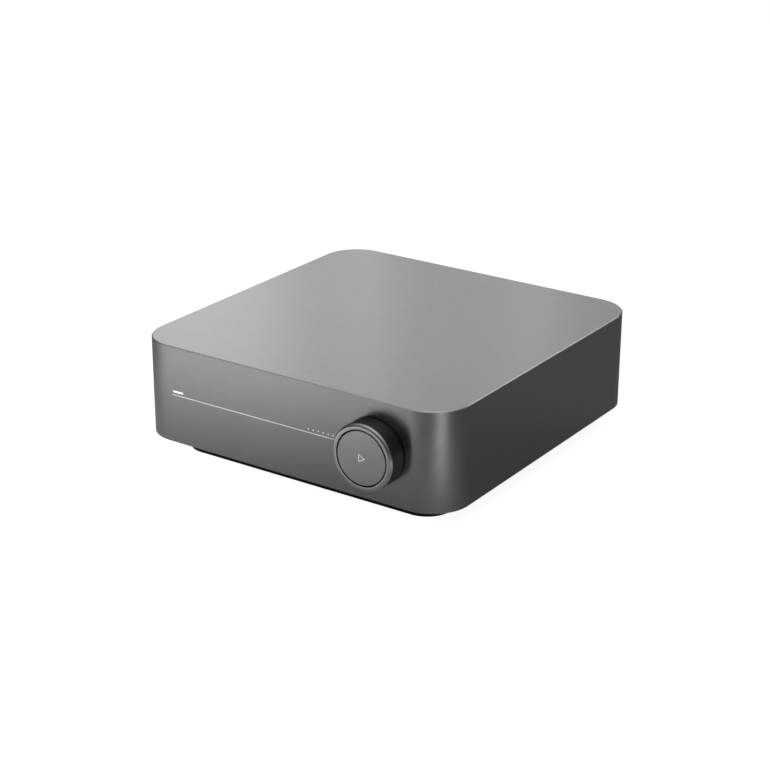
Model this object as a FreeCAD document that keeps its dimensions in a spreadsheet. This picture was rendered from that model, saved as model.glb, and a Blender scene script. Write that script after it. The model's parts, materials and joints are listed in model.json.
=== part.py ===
import FreeCAD, Part
import math
import os
import re

import Sketcher
from FreeCAD import Placement, Rotation, Vector

# Streaming amplifier: a square aluminium case on a smaller plinth, with a turning volume knob, a press
# button in the knob's middle and a connector panel behind. Millimetres, +Z up, the front faces -Y, and
# the origin lies on the floor under the middle of the case.

os.makedirs("parts", exist_ok=True)
doc = FreeCAD.newDocument("StreamingAmplifier")

# Driving sizes, kept in the sheet.
sizes = {
    # Case
    "caseWidth": 190.0,
    "caseDepth": 190.0,
    "caseHeight": 52.76,
    "caseCorner": 20.67,
    "caseWall": 3.0,
    "caseRoof": 3.0,
    "caseEdge": 0.45,
    "cornerPostInset": 13.0,
    "cornerPostRadius": 4.2,
    # Underside
    "plinthHeight": 10.24,
    "plinthInset": 14.4,
    "plinthCorner": 14.6,
    "plinthWall": 2.4,
    "plinthFloor": 2.4,
    "flangeThickness": 3.0,
    "flangeRecess": 0.4,
    "footThickness": 1.6,
    "footWidth": 7.0,
    "footInset": 0.6,
    # Clearances
    "fitGap": 0.2,
    "slipGap": 0.05,
    "liftGap": 0.1,
    "endFlat": 0.02,
    # Screws
    "screwShank": 1.2,
    "screwHead": 2.8,
    "screwHeadHeight": 1.8,
    "screwLength": 6.0,
    "baseScrewLength": 12.0,
    "screwHeadRim": 1.1,
    "screwHeadTop": 2.1,
    "screwClearance": 0.4,
    "screwSlot": 0.6,
    # Front line and lights
    "lineInset": 23.7,
    "lineHeight": 0.5,
    "lineDepth": 0.6,
    "lightRise": 1.87,
    "pillShift": 0.7,
    "pillLength": 6.6,
    "pillHeight": 0.8,
    "dotSetback": 39.2,
    "dotPitch": 2.98,
    "dotCount": 6,
    "dotRadius": 0.28,
    "lightSkin": 0.8,
    "guideMargin": 1.8,
    "guideHeight": 4.4,
    "ledWidth": 1.6,
    "ledThickness": 0.8,
    # Front board
    "frontBoardStand": 8.2,
    "boardThickness": 1.6,
    "frontBoardSideGap": 18.0,
    "frontBoardHeight": 28.0,
    "frontBoardRise": 1.5,
    "frontPostRadius": 2.8,
    "frontPostInset": 4.0,
    # Volume knob
    "knobSideGap": 40.4,
    "knobReach": 11.2,
    "knobGap": 0.45,
    "knobRadius": 17.34,
    "knobRound": 1.64,
    "knobBore": 14.6,
    "knobLip": 0.25,
    "webThickness": 2.0,
    "hubWall": 1.4,
    "hubStop": 0.4,
    "linerWall": 1.15,
    "magnetWall": 2.2,
    "magnetLength": 1.8,
    # Bush that carries the knob
    "journalRadius": 9.0,
    "bushFlange": 12.4,
    "bushFlangeThickness": 1.0,
    "washerThickness": 0.2,
    "bushNose": 1.05,
    "bushBarrel": 7.5,
    "bushTail": 2.8,
    "clipThickness": 0.6,
    "clipDepth": 0.5,
    "clipRim": 1.6,
    "nutRadius": 11.0,
    "nutThickness": 2.2,
    "nutSlotDepth": 2.0,
    "nutSlotWidth": 2.0,
    "sensorBoardThickness": 0.8,
    "sensorBoardRim": 0.4,
    "sensorSize": 1.6,
    "sensorThickness": 1.0,
    # Press button
    "discRadius": 13.9,
    "discThickness": 1.8,
    "discLip": 0.2,
    "stemRadius": 4.0,
    "stemFlat": 3.5,
    "stemTail": 1.2,
    "stemClipThickness": 0.6,
    "stemClipRim": 1.5,
    "stemClipGroove": 1.0,
    "pressTravel": 0.6,
    "springRadius": 5.0,
    "springWire": 0.5,
    "springTurns": 5,
    "springSeat": 4.5,
    "springRoom": 1.0,
    "markLength": 3.9,
    "markHeight": 4.3,
    "markShift": 0.31,
    "markStroke": 0.36,
    "markDepth": 0.2,
    "switchSize": 6.0,
    "plungerRadius": 1.7,
    "plungerLength": 1.6,
    # Chassis plate
    "chassisInset": 6.0,
    "chassisCorner": 26.0,
    "chassisThickness": 1.2,
    "chassisPostInset": 26.0,
    "chassisPostRadius": 3.5,
    "standoffHeight": 5.0,
    "standoffRadius": 2.6,
    "lugWidth": 7.0,
    "lugInset": 3.7,
    "lugTabLength": 8.0,
    # Power supply
    "powerSideGap": 16.0,
    "powerWidth": 34.0,
    "powerFrontGap": 20.0,
    "boardRearGap": 4.0,
    "boardScrewInset": 4.0,
    "powerScrewBack": 12.0,
    "mainScrewBack": 18.0,
    "fuseRadius": 2.6,
    "fuseLength": 20.0,
    "fuseInset": 6.0,
    "fuseRearGap": 18.0,
    "capacitorRadius": 9.0,
    "capacitorHeight": 32.0,
    "capacitorEdge": 1.0,
    "capacitorBack": 4.0,
    "smallCapacitorRadius": 4.0,
    "smallCapacitorHeight": 16.0,
    "smallCapacitorGap": 2.0,
    "smallCapacitorInset": 16.0,
    "chokeSize": 17.0,
    "chokeHeight": 18.0,
    "chokeBore": 3.7,
    "chokeShift": 4.0,
    "chokeBack": 26.0,
    "coreWidth": 28.0,
    "coreDepth": 22.0,
    "coreHeight": 24.0,
    "coreLimb": 5.0,
    "coreForward": 30.0,
    # Amplifier board
    "boardGap": 4.0,
    "mainSideGap": 16.0,
    "mainDepth": 112.0,
    "chipSize": 14.0,
    "chipHeight": 1.6,
    "chipShift": 17.0,
    "chipForward": 25.0,
    "sinkWidth": 60.0,
    "sinkDepth": 46.0,
    "sinkBase": 4.0,
    "sinkFootRadius": 2.0,
    "sinkFootInset": 3.0,
    "finRoofGap": 5.0,
    "finThickness": 1.6,
    "finCount": 10,
    "coilSize": 11.0,
    "coilHeight": 9.0,
    "coilGap": 2.5,
    "coilForward": 32.0,
    "moduleWidth": 28.0,
    "moduleDepth": 32.0,
    "moduleThickness": 1.0,
    "moduleBack": 16.0,
    "shieldInset": 2.0,
    "shieldHeight": 3.0,
    "shieldWall": 0.3,
    "cableWidth": 14.0,
    "cableThickness": 0.3,
    "cableRise": 4.0,
    "cableReach": 5.0,
    "cableFall": 4.0,
    "cableLanding": 6.0,
    "antennaLength": 14.0,
    "antennaHeight": 8.0,
    # Rear panel
    "panelSideInset": 23.5,
    "panelCorner": 3.0,
    "panelRise": 6.26,
    "panelDrop": 6.5,
    "panelRecess": 1.0,
    "panelThickness": 2.0,
    "panelLip": 2.6,
    "panelLipThickness": 1.5,
    "panelScrewInset": 3.5,
    # Mains inlet
    "inletOffset": 23.0,
    "inletWidth": 21.0,
    "inletHeight": 13.5,
    "inletDepth": 22.0,
    "inletMouthWidth": 16.4,
    "inletMouthHeight": 9.0,
    "inletMouthDepth": 14.0,
    "inletPinRadius": 1.18,
    "inletPinPitch": 8.6,
    "inletPinLength": 10.5,
    # Loudspeaker posts
    "postCount": 4,
    "postSideGap": 19.0,
    "postPitch": 17.0,
    "postDrop": 10.5,
    "blockHeight": 14.5,
    "blockDepth": 16.0,
    "blockSide": 6.6,
    "blockLeg": 3.0,
    "collarRadius": 5.3,
    "collarReach": 1.0,
    "studRadius": 3.0,
    "studBore": 2.0,
    "studBoreDepth": 13.0,
    "studTail": 1.5,
    "studShoulder": 4.0,
    "wireHole": 1.3,
    "postWasherRadius": 5.8,
    "postWasherThickness": 1.0,
    "capRadius": 6.4,
    "capLength": 10.8,
    "capRib": 0.9,
    "capEdge": 0.6,
    "capRibCount": 12,
    "studRecess": 0.8,
    # Signal sockets
    "rcaCount": 3,
    "rcaPitch": 14.0,
    "rcaRise": 8.6,
    "rcaWidth": 10.4,
    "rcaHeight": 13.6,
    "rcaDepth": 12.0,
    "rcaCollar": 4.9,
    "rcaShell": 4.15,
    "rcaShellWall": 0.5,
    "rcaReach": 9.0,
    "rcaBore": 1.7,
    "rcaBoreDepth": 12.0,
    "rcaCoreSetback": 1.0,
    "socketProud": 0.3,
    "socketGapCount": 5,
    "opticalSize": 9.6,
    "opticalMouth": 6.2,
    "opticalMouthDepth": 10.0,
    "shutterThickness": 0.7,
    "shutterPin": 0.5,
    "shutterPinReach": 0.4,
    "shutterSetback": 3.6,
    "hdmiWidth": 15.0,
    "hdmiHeight": 6.2,
    "hdmiWall": 0.5,
    "hdmiTongue": 1.0,
    "hdmiTongueWidth": 11.6,
    "hdmiTongueSetback": 2.0,
    "hdmiBevel": 1.55,
    "ethernetWidth": 16.2,
    "ethernetHeight": 13.6,
    "ethernetMouthWidth": 11.9,
    "ethernetMouthHeight": 8.4,
    "ethernetLatchWidth": 6.2,
    "ethernetLatchHeight": 2.0,
    "socketDepth": 12.0,
    "socketBackWall": 2.3,
}

# Places that follow from the sizes, each written once.
places = {
    "caseBottom": "plinthHeight",
    "caseTop": "plinthHeight + caseHeight",
    "roofInner": "caseTop - caseRoof",
    "sideInner": "caseWidth / 2 - caseWall",
    "frontFace": "-caseDepth / 2",
    "frontInner": "frontFace + caseWall",
    "rearFace": "caseDepth / 2",
    "rearInner": "rearFace - caseWall",
    "innerCorner": "caseCorner - caseWall",
    "cornerPostX": "caseWidth / 2 - cornerPostInset",
    "cornerPostY": "caseDepth / 2 - cornerPostInset",
    "flangeBottom": "caseBottom + flangeRecess",
    "flangeTop": "flangeBottom + flangeThickness",
    "baseScrewSeat": "flangeBottom + screwHeadHeight",
    "plinthWidth": "caseWidth - 2 * plinthInset",
    "plinthDepth": "caseDepth - 2 * plinthInset",
    "plinthInside": "footThickness + plinthFloor",
    "tapRadius": "screwShank + slipGap",
    "passRadius": "screwShank + screwClearance",
    "lineLevel": "caseBottom + caseHeight / 2",
    "lightLevel": "lineLevel + lightRise",
    "lineLeft": "-caseWidth / 2 + lineInset",
    "knobX": "caseWidth / 2 - knobSideGap",
    "lineRight": "knobX - bushFlange - fitGap",
    "pillMiddle": "lineLeft + pillShift + pillLength / 2",
    "pillEnd": "pillHeight / 2 - endFlat",
    "dotFirst": "knobX - dotSetback",
    "dotSpan": "(dotCount - 1) * dotPitch",
    "dotMiddle": "dotFirst + dotSpan / 2",
    "frontBoardWidth": "2 * sideInner - 2 * frontBoardSideGap",
    "frontBoardFace": "frontInner + frontBoardStand",
    "frontBoardBack": "frontBoardFace + boardThickness",
    "frontBoardLevel": "lineLevel + frontBoardRise",
    "frontPostX": "frontBoardWidth / 2 - frontPostInset",
    "frontPostZ": "frontBoardHeight / 2 - frontPostInset",
    "ledFace": "frontBoardFace - ledThickness",
    "pocketFace": "frontFace + lightSkin",
    "guideBack": "ledFace - liftGap",
    # Knob, from the panel towards the front
    "bushFlangeFace": "frontFace - bushFlangeThickness",
    "washerFace": "bushFlangeFace - washerThickness",
    "linerBack": "washerFace - liftGap",
    "hubBack": "linerBack - liftGap",
    "magnetFront": "hubBack - magnetLength",
    "webBack": "magnetFront - hubStop",
    "webFront": "webBack - webThickness",
    "clipBack": "webFront - slipGap",
    "clipFront": "clipBack - clipThickness",
    "bushFront": "clipFront - bushNose",
    "knobFront": "frontFace - knobReach",
    "knobBack": "frontFace - knobGap",
    "linerInner": "journalRadius + slipGap",
    "linerOuter": "linerInner + linerWall",
    "hubOuter": "linerOuter + hubWall",
    "magnetOuter": "hubOuter + magnetWall",
    "sensorRing": "hubOuter + magnetWall / 2",
    "sensorBoardOuter": "magnetOuter + sensorBoardRim",
    # Behind the front wall, at the knob
    "sensorBoardBack": "frontInner + sensorBoardThickness",
    "nutBack": "sensorBoardBack + nutThickness",
    "bushRear": "frontInner + bushTail",
    # Press button
    "discBack": "knobFront + discThickness",
    "springFloor": "bushFront + springSeat",
    "stemClipFront": "bushRear + liftGap",
    "stemClipBack": "stemClipFront + stemClipThickness",
    "stemRear": "bushRear + stemTail",
    "plungerRear": "stemRear + plungerLength",
    "switchFace": "stemRear + pressTravel + fitGap",
    "markLeft": "markShift - markLength / 2",
    "markTip": "markShift + markLength / 2",
    # Boards over the chassis plate
    "chassisWidth": "2 * sideInner - 2 * chassisInset",
    "chassisDepth": "2 * rearInner - 2 * chassisInset",
    "chassisPostX": "chassisWidth / 2 - chassisPostInset",
    "chassisPostY": "chassisDepth / 2 - chassisPostInset",
    "chassisTop": "flangeTop + chassisThickness",
    "boardBottom": "chassisTop + standoffHeight",
    "boardTop": "boardBottom + boardThickness",
    "boardRear": "rearInner - boardRearGap",
    "powerLeft": "-sideInner + powerSideGap",
    "powerRight": "powerLeft + powerWidth",
    "powerFront": "frontInner + powerFrontGap",
    "powerMiddle": "powerLeft + powerWidth / 2",
    "powerCentre": "(powerFront + boardRear) / 2",
    "capacitorY": "powerCentre + capacitorBack",
    "smallCapacitorY": "powerFront + smallCapacitorInset",
    "coreY": "powerCentre - coreForward",
    "chokeY": "powerCentre + chokeBack",
    "chokeX": "powerMiddle + chokeShift",
    "mainLeft": "powerRight + boardGap",
    "mainRight": "sideInner - mainSideGap",
    "mainFront": "boardRear - mainDepth",
    "mainCentre": "(mainFront + boardRear) / 2",
    "chipX": "(mainLeft + mainRight) / 2 + chipShift",
    "chipY": "mainCentre - chipForward",
    "coilFirst": "mainCentre - coilForward",
    "moduleX": "mainLeft + boardScrewInset + moduleWidth / 2",
    "moduleY": "mainCentre + moduleBack",
    "chipTop": "boardTop + chipHeight",
    "sinkTop": "chipTop + sinkBase",
    "finTop": "roofInner - finRoofGap",
    # Rear panel
    "panelWidth": "caseWidth - 2 * panelSideInset",
    "panelHeight": "caseHeight - panelRise - panelDrop",
    "panelBottom": "caseBottom + panelRise",
    "panelMiddle": "panelBottom + panelHeight / 2",
    "panelFace": "rearFace - panelRecess",
    "panelInner": "panelFace - panelThickness",
    "lipFace": "rearInner - panelLipThickness",
    "lugFace": "lipFace - liftGap",
    "lugOffset": "panelWidth / 2 - lugInset",
    "panelScrewZ": "panelHeight / 2 - panelScrewInset",
    "proudFace": "panelFace + socketProud",
    # Mains inlet
    "inletX": "powerLeft + inletOffset",
    "inletEnd": "inletMouthHeight / 2 - endFlat",
    "inletLevel": "boardTop + inletHeight / 2",
    "inletFloor": "proudFace - inletMouthDepth",
    # Loudspeaker posts
    "postFirst": "mainRight - postSideGap - (postCount - 1) * postPitch",
    "postLevel": "panelBottom + panelHeight - postDrop",
    "collarFace": "panelFace + collarReach",
    "postWasherBack": "collarFace + liftGap",
    "postWasherFace": "postWasherBack + postWasherThickness",
    "capBack": "postWasherFace + liftGap",
    "capFace": "capBack + capLength",
    "studFace": "capFace - studRecess",
    "studBack": "panelInner - studShoulder",
    "studBoreFloor": "studFace - studBoreDepth",
    "studBottom": "panelInner - blockDepth",
    "blockBottom": "postLevel - blockHeight / 2",
    "blockTop": "postLevel + blockHeight / 2",
    "blockLeft": "postFirst - blockSide",
    "blockRight": "postFirst + (postCount - 1) * postPitch + blockSide",
    # Signal sockets, spaced evenly from the inlet to the panel's end
    "socketBack": "proudFace - socketDepth - socketBackWall",
    "socketFloor": "proudFace - socketDepth",
    "rcaSpan": "(rcaCount - 1) * rcaPitch + rcaWidth",
    "socketRoom": "panelWidth / 2 - caseWall - inletX - inletWidth / 2",
    "socketGap": "(socketRoom - ethernetWidth - hdmiWidth - opticalSize - rcaSpan) / socketGapCount",
    "ethernetX": "inletX + inletWidth / 2 + socketGap + ethernetWidth / 2",
    "hdmiX": "ethernetX + ethernetWidth / 2 + socketGap + hdmiWidth / 2",
    "opticalX": "hdmiX + hdmiWidth / 2 + socketGap + opticalSize / 2",
    "rcaFirst": "opticalX + opticalSize / 2 + socketGap + rcaWidth / 2",
    "rcaLevel": "boardTop + rcaRise",
    "rcaCollarFace": "panelFace + liftGap",
    "rcaFace": "panelFace + rcaReach",
    "rcaCoreFace": "rcaFace - rcaCoreSetback",
    "rcaBoreFloor": "rcaCoreFace - rcaBoreDepth",
    "rcaCore": "rcaShell - rcaShellWall - slipGap",
    "opticalLevel": "boardTop + opticalSize / 2",
    "opticalFloor": "proudFace - opticalMouthDepth",
    "shutterY": "proudFace - shutterSetback - shutterThickness / 2",
    "shutterZ": "opticalLevel + opticalMouth / 2 - shutterPin - liftGap",
    "hdmiLevel": "boardTop + hdmiHeight / 2",
    "ethernetLevel": "boardTop + (ethernetHeight - ethernetLatchHeight) / 2",
    "ethernetLatchFoot": "ethernetLevel + ethernetMouthHeight / 2",
}

sheet = doc.addObject("Spreadsheet::Sheet", "sizes")
for row, (name, number) in enumerate(sizes.items(), start=1):
    sheet.set(f"A{row}", name)
    sheet.set(f"B{row}", str(number))
    sheet.setAlias(f"B{row}", name)
doc.recompute()

nodes = []


def expand(text):
    """Writes a size rule out in the sheet's own cells."""

    def spell(match):
        word = match.group()
        if word in places:
            return "(" + expand(places[word]) + ")"
        return "sizes." + word if word in sizes else word

    return re.sub(r"[A-Za-z]\w*", spell, text)


def mm(text):
    """The present value of a size rule."""
    return float(sheet.evalExpression(expand(text)))


def bind(item, **rules):
    for name, text in rules.items():
        item.setExpression(name, expand(text))


def place(item, x="0", y="0", z="0", turn=Rotation()):
    item.Placement = Placement(Vector(), turn)
    for letter, text in zip("xyz", (x, y, z)):
        item.setExpression("Placement.Base." + letter, expand(text))


alongX = Rotation(Vector(0, 1, 0), 90)
alongY = Rotation(Vector(1, 0, 0), -90)
alongZ = Rotation()
facingRear = Rotation(Vector(1, 0, 0), -90)
facingDown = Rotation(Vector(1, 0, 0), 180)


def newBody(label):
    body = doc.addObject("PartDesign::Body", label)
    body.Label = label
    return body


def newNode(label):
    body = newBody(label)
    nodes.append(body)
    return body


def newSketch(body, name, plane, level="0"):
    """A sketch on one of the body's own planes, at a level along X, Y or Z."""
    sketch = body.newObject("Sketcher::SketchObject", name)
    origin = [item for item in body.Origin.OriginFeatures if item.Role == plane][0]
    sketch.AttachmentSupport = [(origin, "")]
    sketch.MapMode = "FlatFace"
    towards = f"-({level})" if plane == "XZ_Plane" else level
    sketch.setExpression("AttachmentOffset.Base.z", expand(towards))
    return sketch


def holdPoint(sketch, line, end, x, y):
    """Holds a point at its two rules, measured from the sketch's origin."""
    for kind, axis, text in (("DistanceX", -2, x), ("DistanceY", -1, y)):
        if text == "0":
            sketch.addConstraint(Sketcher.Constraint("PointOnObject", line, end, axis))
            continue
        held = sketch.addConstraint(Sketcher.Constraint(kind, -1, 1, line, end, mm(text)))
        sketch.setExpression(f"Constraints[{held}]", expand(text))


def drawPolygon(sketch, points):
    first = sketch.GeometryCount
    corners = [Vector(mm(x), mm(y), 0) for x, y in points]
    count = len(corners)
    for number in range(count):
        sketch.addGeometry(Part.LineSegment(corners[number], corners[(number + 1) % count]), False)
    for number in range(count):
        following = first + (number + 1) % count
        sketch.addConstraint(Sketcher.Constraint("Coincident", first + number, 2, following, 1))
    for number, (x, y) in enumerate(points):
        holdPoint(sketch, first + number, 1, x, y)


def drawRounded(sketch, width, height, radius, x="0", y="0"):
    """A rectangle with round corners about (x, y)."""
    right = mm(f"{x} + ({width}) / 2")
    left = mm(f"{x} - ({width}) / 2")
    top = mm(f"{y} + ({height}) / 2")
    bottom = mm(f"{y} - ({height}) / 2")
    bend = mm(radius)
    quarter = math.pi / 2
    lines = [
        ((left + bend, bottom), (right - bend, bottom)),
        ((right, bottom + bend), (right, top - bend)),
        ((right - bend, top), (left + bend, top)),
        ((left, top - bend), (left, bottom + bend)),
    ]
    middles = [
        (right - bend, bottom + bend),
        (right - bend, top - bend),
        (left + bend, top - bend),
        (left + bend, bottom + bend),
    ]
    first = sketch.GeometryCount
    for start, end in lines:
        sketch.addGeometry(Part.LineSegment(Vector(*start, 0), Vector(*end, 0)), False)
    for number, middle in enumerate(middles):
        circle = Part.Circle(Vector(*middle, 0), Vector(0, 0, 1), bend)
        begin = (number - 1) * quarter
        sketch.addGeometry(Part.ArcOfCircle(circle, begin, begin + quarter), False)
    for number in range(4):
        line = first + number
        arc = first + 4 + number
        after = first + (number + 1) % 4
        sketch.addConstraint(Sketcher.Constraint("Tangent", line, 2, arc, 1))
        sketch.addConstraint(Sketcher.Constraint("Tangent", arc, 2, after, 1))
        sketch.addConstraint(Sketcher.Constraint("Horizontal" if number % 2 == 0 else "Vertical", line))
        if number:
            sketch.addConstraint(Sketcher.Constraint("Equal", first + 4, arc))
    held = sketch.addConstraint(Sketcher.Constraint("Radius", first + 4, bend))
    sketch.setExpression(f"Constraints[{held}]", expand(radius))
    edges = [
        ("DistanceY", first, f"{y} - ({height}) / 2", bottom),
        ("DistanceX", first + 1, f"{x} + ({width}) / 2", right),
        ("DistanceY", first + 2, f"{y} + ({height}) / 2", top),
        ("DistanceX", first + 3, f"{x} - ({width}) / 2", left),
    ]
    for kind, line, text, number in edges:
        held = sketch.addConstraint(Sketcher.Constraint(kind, -1, 1, line, 1, number))
        sketch.setExpression(f"Constraints[{held}]", expand(text))


def addPad(body, name, plane, level, length, draw, **shape):
    """Pads towards +Z, -Y or +X, away from the sketch."""
    sketch = newSketch(body, name + "Outline", plane, level)
    draw(sketch, **shape)
    pad = body.newObject("PartDesign::Pad", name)
    pad.Profile = sketch
    bind(pad, Length=length)
    doc.recompute()
    return pad


def cutPocket(body, name, plane, level, length, draw, **shape):
    """Cuts towards +Z, -Y or +X, away from the sketch."""
    doc.recompute()
    before = body.Shape.Volume
    sketch = newSketch(body, name + "Outline", plane, level)
    draw(sketch, **shape)
    pocket = body.newObject("PartDesign::Pocket", name)
    pocket.Profile = sketch
    pocket.Reversed = True
    bind(pocket, Length=length)
    doc.recompute()
    if not body.Shape.Volume < before:
        raise RuntimeError(f"{body.Label}: {name} cuts nothing")
    return pocket


def addTurned(body, name, plane, points, cut=False):
    """A turned shape about the sketch's upright axis, from (radius, place) points."""
    sketch = newSketch(body, name + "Profile", plane)
    drawPolygon(sketch, points)
    kind = "PartDesign::Groove" if cut else "PartDesign::Revolution"
    turned = body.newObject(kind, name)
    turned.Profile = sketch
    turned.ReferenceAxis = (sketch, ["V_Axis"])
    turned.Angle = 360
    doc.recompute()
    return turned


def addTube(body, name, plane, inner, outer, start, end):
    return addTurned(body, name, plane, [(inner, start), (outer, start), (outer, end), (inner, end)])


def block(body, name, x, y, z, cut=False):
    """A block, or a cut of that shape, between the two ends of x, y and z."""
    kind = "PartDesign::SubtractiveBox" if cut else "PartDesign::AdditiveBox"
    box = body.newObject(kind, name)
    bind(
        box,
        Length=f"({x[1]}) - ({x[0]})",
        Width=f"({y[1]}) - ({y[0]})",
        Height=f"({z[1]}) - ({z[0]})",
    )
    place(box, x[0], y[0], z[0])
    return box


def rod(body, name, axis, radius, across, start, end, cut=False):
    """A round bar, or a round hole, along one axis."""
    kind = "PartDesign::SubtractiveCylinder" if cut else "PartDesign::AdditiveCylinder"
    bar = body.newObject(kind, name)
    bind(bar, Radius=radius, Height=f"({end}) - ({start})")
    first, second = across
    if axis == "x":
        place(bar, start, first, second, alongX)
    elif axis == "y":
        place(bar, first, start, second, alongY)
    else:
        place(bar, first, second, start, alongZ)
    return bar


def about(middle, width):
    """The two ends of a width about its middle."""
    return (f"{middle} - ({width}) / 2", f"{middle} + ({width}) / 2")


def breakEdges(body, name, size, pick, kind="Chamfer"):
    """Chamfers or rounds the edges that pick chooses."""
    doc.recompute()
    base = body.Tip
    edges = [f"Edge{number}" for number, edge in enumerate(base.Shape.Edges, 1) if pick(edge)]
    if not edges:
        raise RuntimeError(f"{body.Label}: {name} finds no edge")
    feature = body.newObject("PartDesign::" + kind, name)
    feature.Base = (base, edges)
    bind(feature, **{"Radius" if kind == "Fillet" else "Size": size})
    doc.recompute()
    return feature


def lowestAndHighest(edge, letter):
    box = edge.BoundBox
    return getattr(box, letter + "Min"), getattr(box, letter + "Max")


def edgeAt(letter, text):
    """Picks the edges that lie in one plane across X, Y or Z."""
    level = mm(text)

    def pick(edge):
        low, high = lowestAndHighest(edge, letter)
        return abs(low - level) < 0.001 and abs(high - level) < 0.001

    return pick


def circleAt(radius, text):
    """Picks a circular edge about the Y axis by its radius and its place along Y."""
    wanted = mm(radius)
    level = edgeAt("Y", text)

    def pick(edge):
        isCircle = isinstance(edge.Curve, Part.Circle)
        return isCircle and abs(edge.Curve.Radius - wanted) < 0.001 and level(edge)

    return pick


def group(label, master, spots):
    """One node of alike pieces: each spot is x, y, z and, if it is turned, a rotation."""
    doc.recompute()
    links = []
    for number, spot in enumerate(spots, start=1):
        link = doc.addObject("App::Link", f"{label}_{number}")
        link.LinkedObject = master
        place(link, *spot)
        links.append(link)
    whole = doc.addObject("Part::Compound", label)
    whole.Label = label
    whole.Links = links
    nodes.append(whole)
    return whole


fourCorners = [(sideX, sideY) for sideX in ("-", "") for sideY in ("-", "")]


# Casing

def makeEnclosure():
    body = newNode("enclosure")
    addPad(
        body, "Shell", "XY_Plane", "caseBottom", "caseHeight",
        drawRounded, width="caseWidth", height="caseDepth", radius="caseCorner",
    )
    breakEdges(body, "RoofEdge", "caseEdge", edgeAt("Z", "caseTop"))
    cutPocket(
        body, "Inside", "XY_Plane", "caseBottom", "caseHeight - caseRoof",
        drawRounded, width="2 * sideInner", height="2 * rearInner", radius="innerCorner",
    )
    for number, (signX, signY) in enumerate(fourCorners, start=1):
        spot = (f"{signX}cornerPostX", f"{signY}cornerPostY")
        rod(body, f"CornerPost{number}", "z", "cornerPostRadius", spot, "flangeTop", "roofInner")
    for number, (signX, signY) in enumerate(fourCorners, start=1):
        spot = (f"{signX}cornerPostX", f"{signY}cornerPostY")
        deep = "flangeTop + baseScrewLength"
        rod(body, f"CornerTap{number}", "z", "tapRadius", spot, "flangeTop", deep, cut=True)
    for number, (signX, signZ) in enumerate(fourCorners, start=1):
        spot = (f"{signX}frontPostX", f"frontBoardLevel + {signZ}frontPostZ")
        rod(body, f"FrontPost{number}", "y", "frontPostRadius", spot, "frontInner", "frontBoardFace")
    for number, (signX, signZ) in enumerate(fourCorners, start=1):
        spot = (f"{signX}frontPostX", f"frontBoardLevel + {signZ}frontPostZ")
        start = "frontBoardFace - screwLength"
        rod(body, f"FrontTap{number}", "y", "tapRadius", spot, start, "frontBoardFace", cut=True)
    cutPocket(
        body, "RearOpening", "XZ_Plane", "rearFace + liftGap", "caseWall + 2 * liftGap",
        drawRounded, width="panelWidth", height="panelHeight", radius="panelCorner", y="panelMiddle",
    )
    spot = ("knobX", "lineLevel")
    rod(body, "KnobHole", "y", "bushBarrel + liftGap", spot, "frontFace", "frontInner", cut=True)
    block(
        body, "LineGroove", ("lineLeft", "lineRight"),
        ("frontFace", "frontFace + lineDepth"), about("lineLevel", "lineHeight"), cut=True,
    )
    for name, middle, width in (
        ("StatusPocket", "pillMiddle", "pillLength + 2 * guideMargin + 2 * liftGap"),
        ("LevelPocket", "dotMiddle", "dotSpan + 2 * guideMargin + 2 * liftGap"),
    ):
        block(
            body, name, about(middle, width), ("pocketFace", "frontInner"),
            about("lightLevel", "guideHeight + 2 * liftGap"), cut=True,
        )
    cutPocket(
        body, "StatusSlot", "XZ_Plane", "pocketFace", "lightSkin",
        drawRounded, width="pillLength", height="pillHeight", radius="pillEnd",
        x="pillMiddle", y="lightLevel",
    )
    for number in range(int(mm("dotCount"))):
        spot = (f"dotFirst + {number} * dotPitch", "lightLevel")
        rod(body, f"Dot{number + 1}", "y", "dotRadius", spot, "frontFace", "pocketFace", cut=True)


def makeBaseCover():
    body = newNode("base_cover")
    addPad(
        body, "Flange", "XY_Plane", "flangeBottom", "flangeThickness", drawRounded,
        width="2 * sideInner - 2 * fitGap", height="2 * rearInner - 2 * fitGap",
        radius="innerCorner - fitGap",
    )
    addPad(
        body, "Plinth", "XY_Plane", "footThickness", "flangeBottom - footThickness",
        drawRounded, width="plinthWidth", height="plinthDepth", radius="plinthCorner",
    )
    cutPocket(
        body, "PlinthInside", "XY_Plane", "plinthInside", "flangeTop - plinthInside", drawRounded,
        width="plinthWidth - 2 * plinthWall", height="plinthDepth - 2 * plinthWall",
        radius="plinthCorner - plinthWall",
    )
    for number, (signX, signY) in enumerate(fourCorners, start=1):
        post = (f"{signX}chassisPostX", f"{signY}chassisPostY")
        rod(body, f"ChassisPost{number}", "z", "chassisPostRadius", post, "plinthInside", "flangeTop")
    for number, (signX, signY) in enumerate(fourCorners, start=1):
        post = (f"{signX}chassisPostX", f"{signY}chassisPostY")
        start = "chassisTop - screwLength - liftGap"
        rod(body, f"ChassisTap{number}", "z", "tapRadius", post, start, "flangeTop", cut=True)
        corner = (f"{signX}cornerPostX", f"{signY}cornerPostY")
        rod(body, f"CornerPass{number}", "z", "passRadius", corner, "flangeBottom", "flangeTop", cut=True)
        head = "screwHead + fitGap"
        rod(body, f"HeadSeat{number}", "z", head, corner, "flangeBottom", "baseScrewSeat", cut=True)


def makeFootRing():
    body = newNode("foot_ring")
    addPad(
        body, "Outer", "XY_Plane", "0", "footThickness", drawRounded,
        width="plinthWidth - 2 * footInset", height="plinthDepth - 2 * footInset",
        radius="plinthCorner - footInset",
    )
    cutPocket(
        body, "Inner", "XY_Plane", "0", "footThickness", drawRounded,
        width="plinthWidth - 2 * footInset - 2 * footWidth",
        height="plinthDepth - 2 * footInset - 2 * footWidth",
        radius="plinthCorner - footInset - footWidth",
    )


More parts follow.
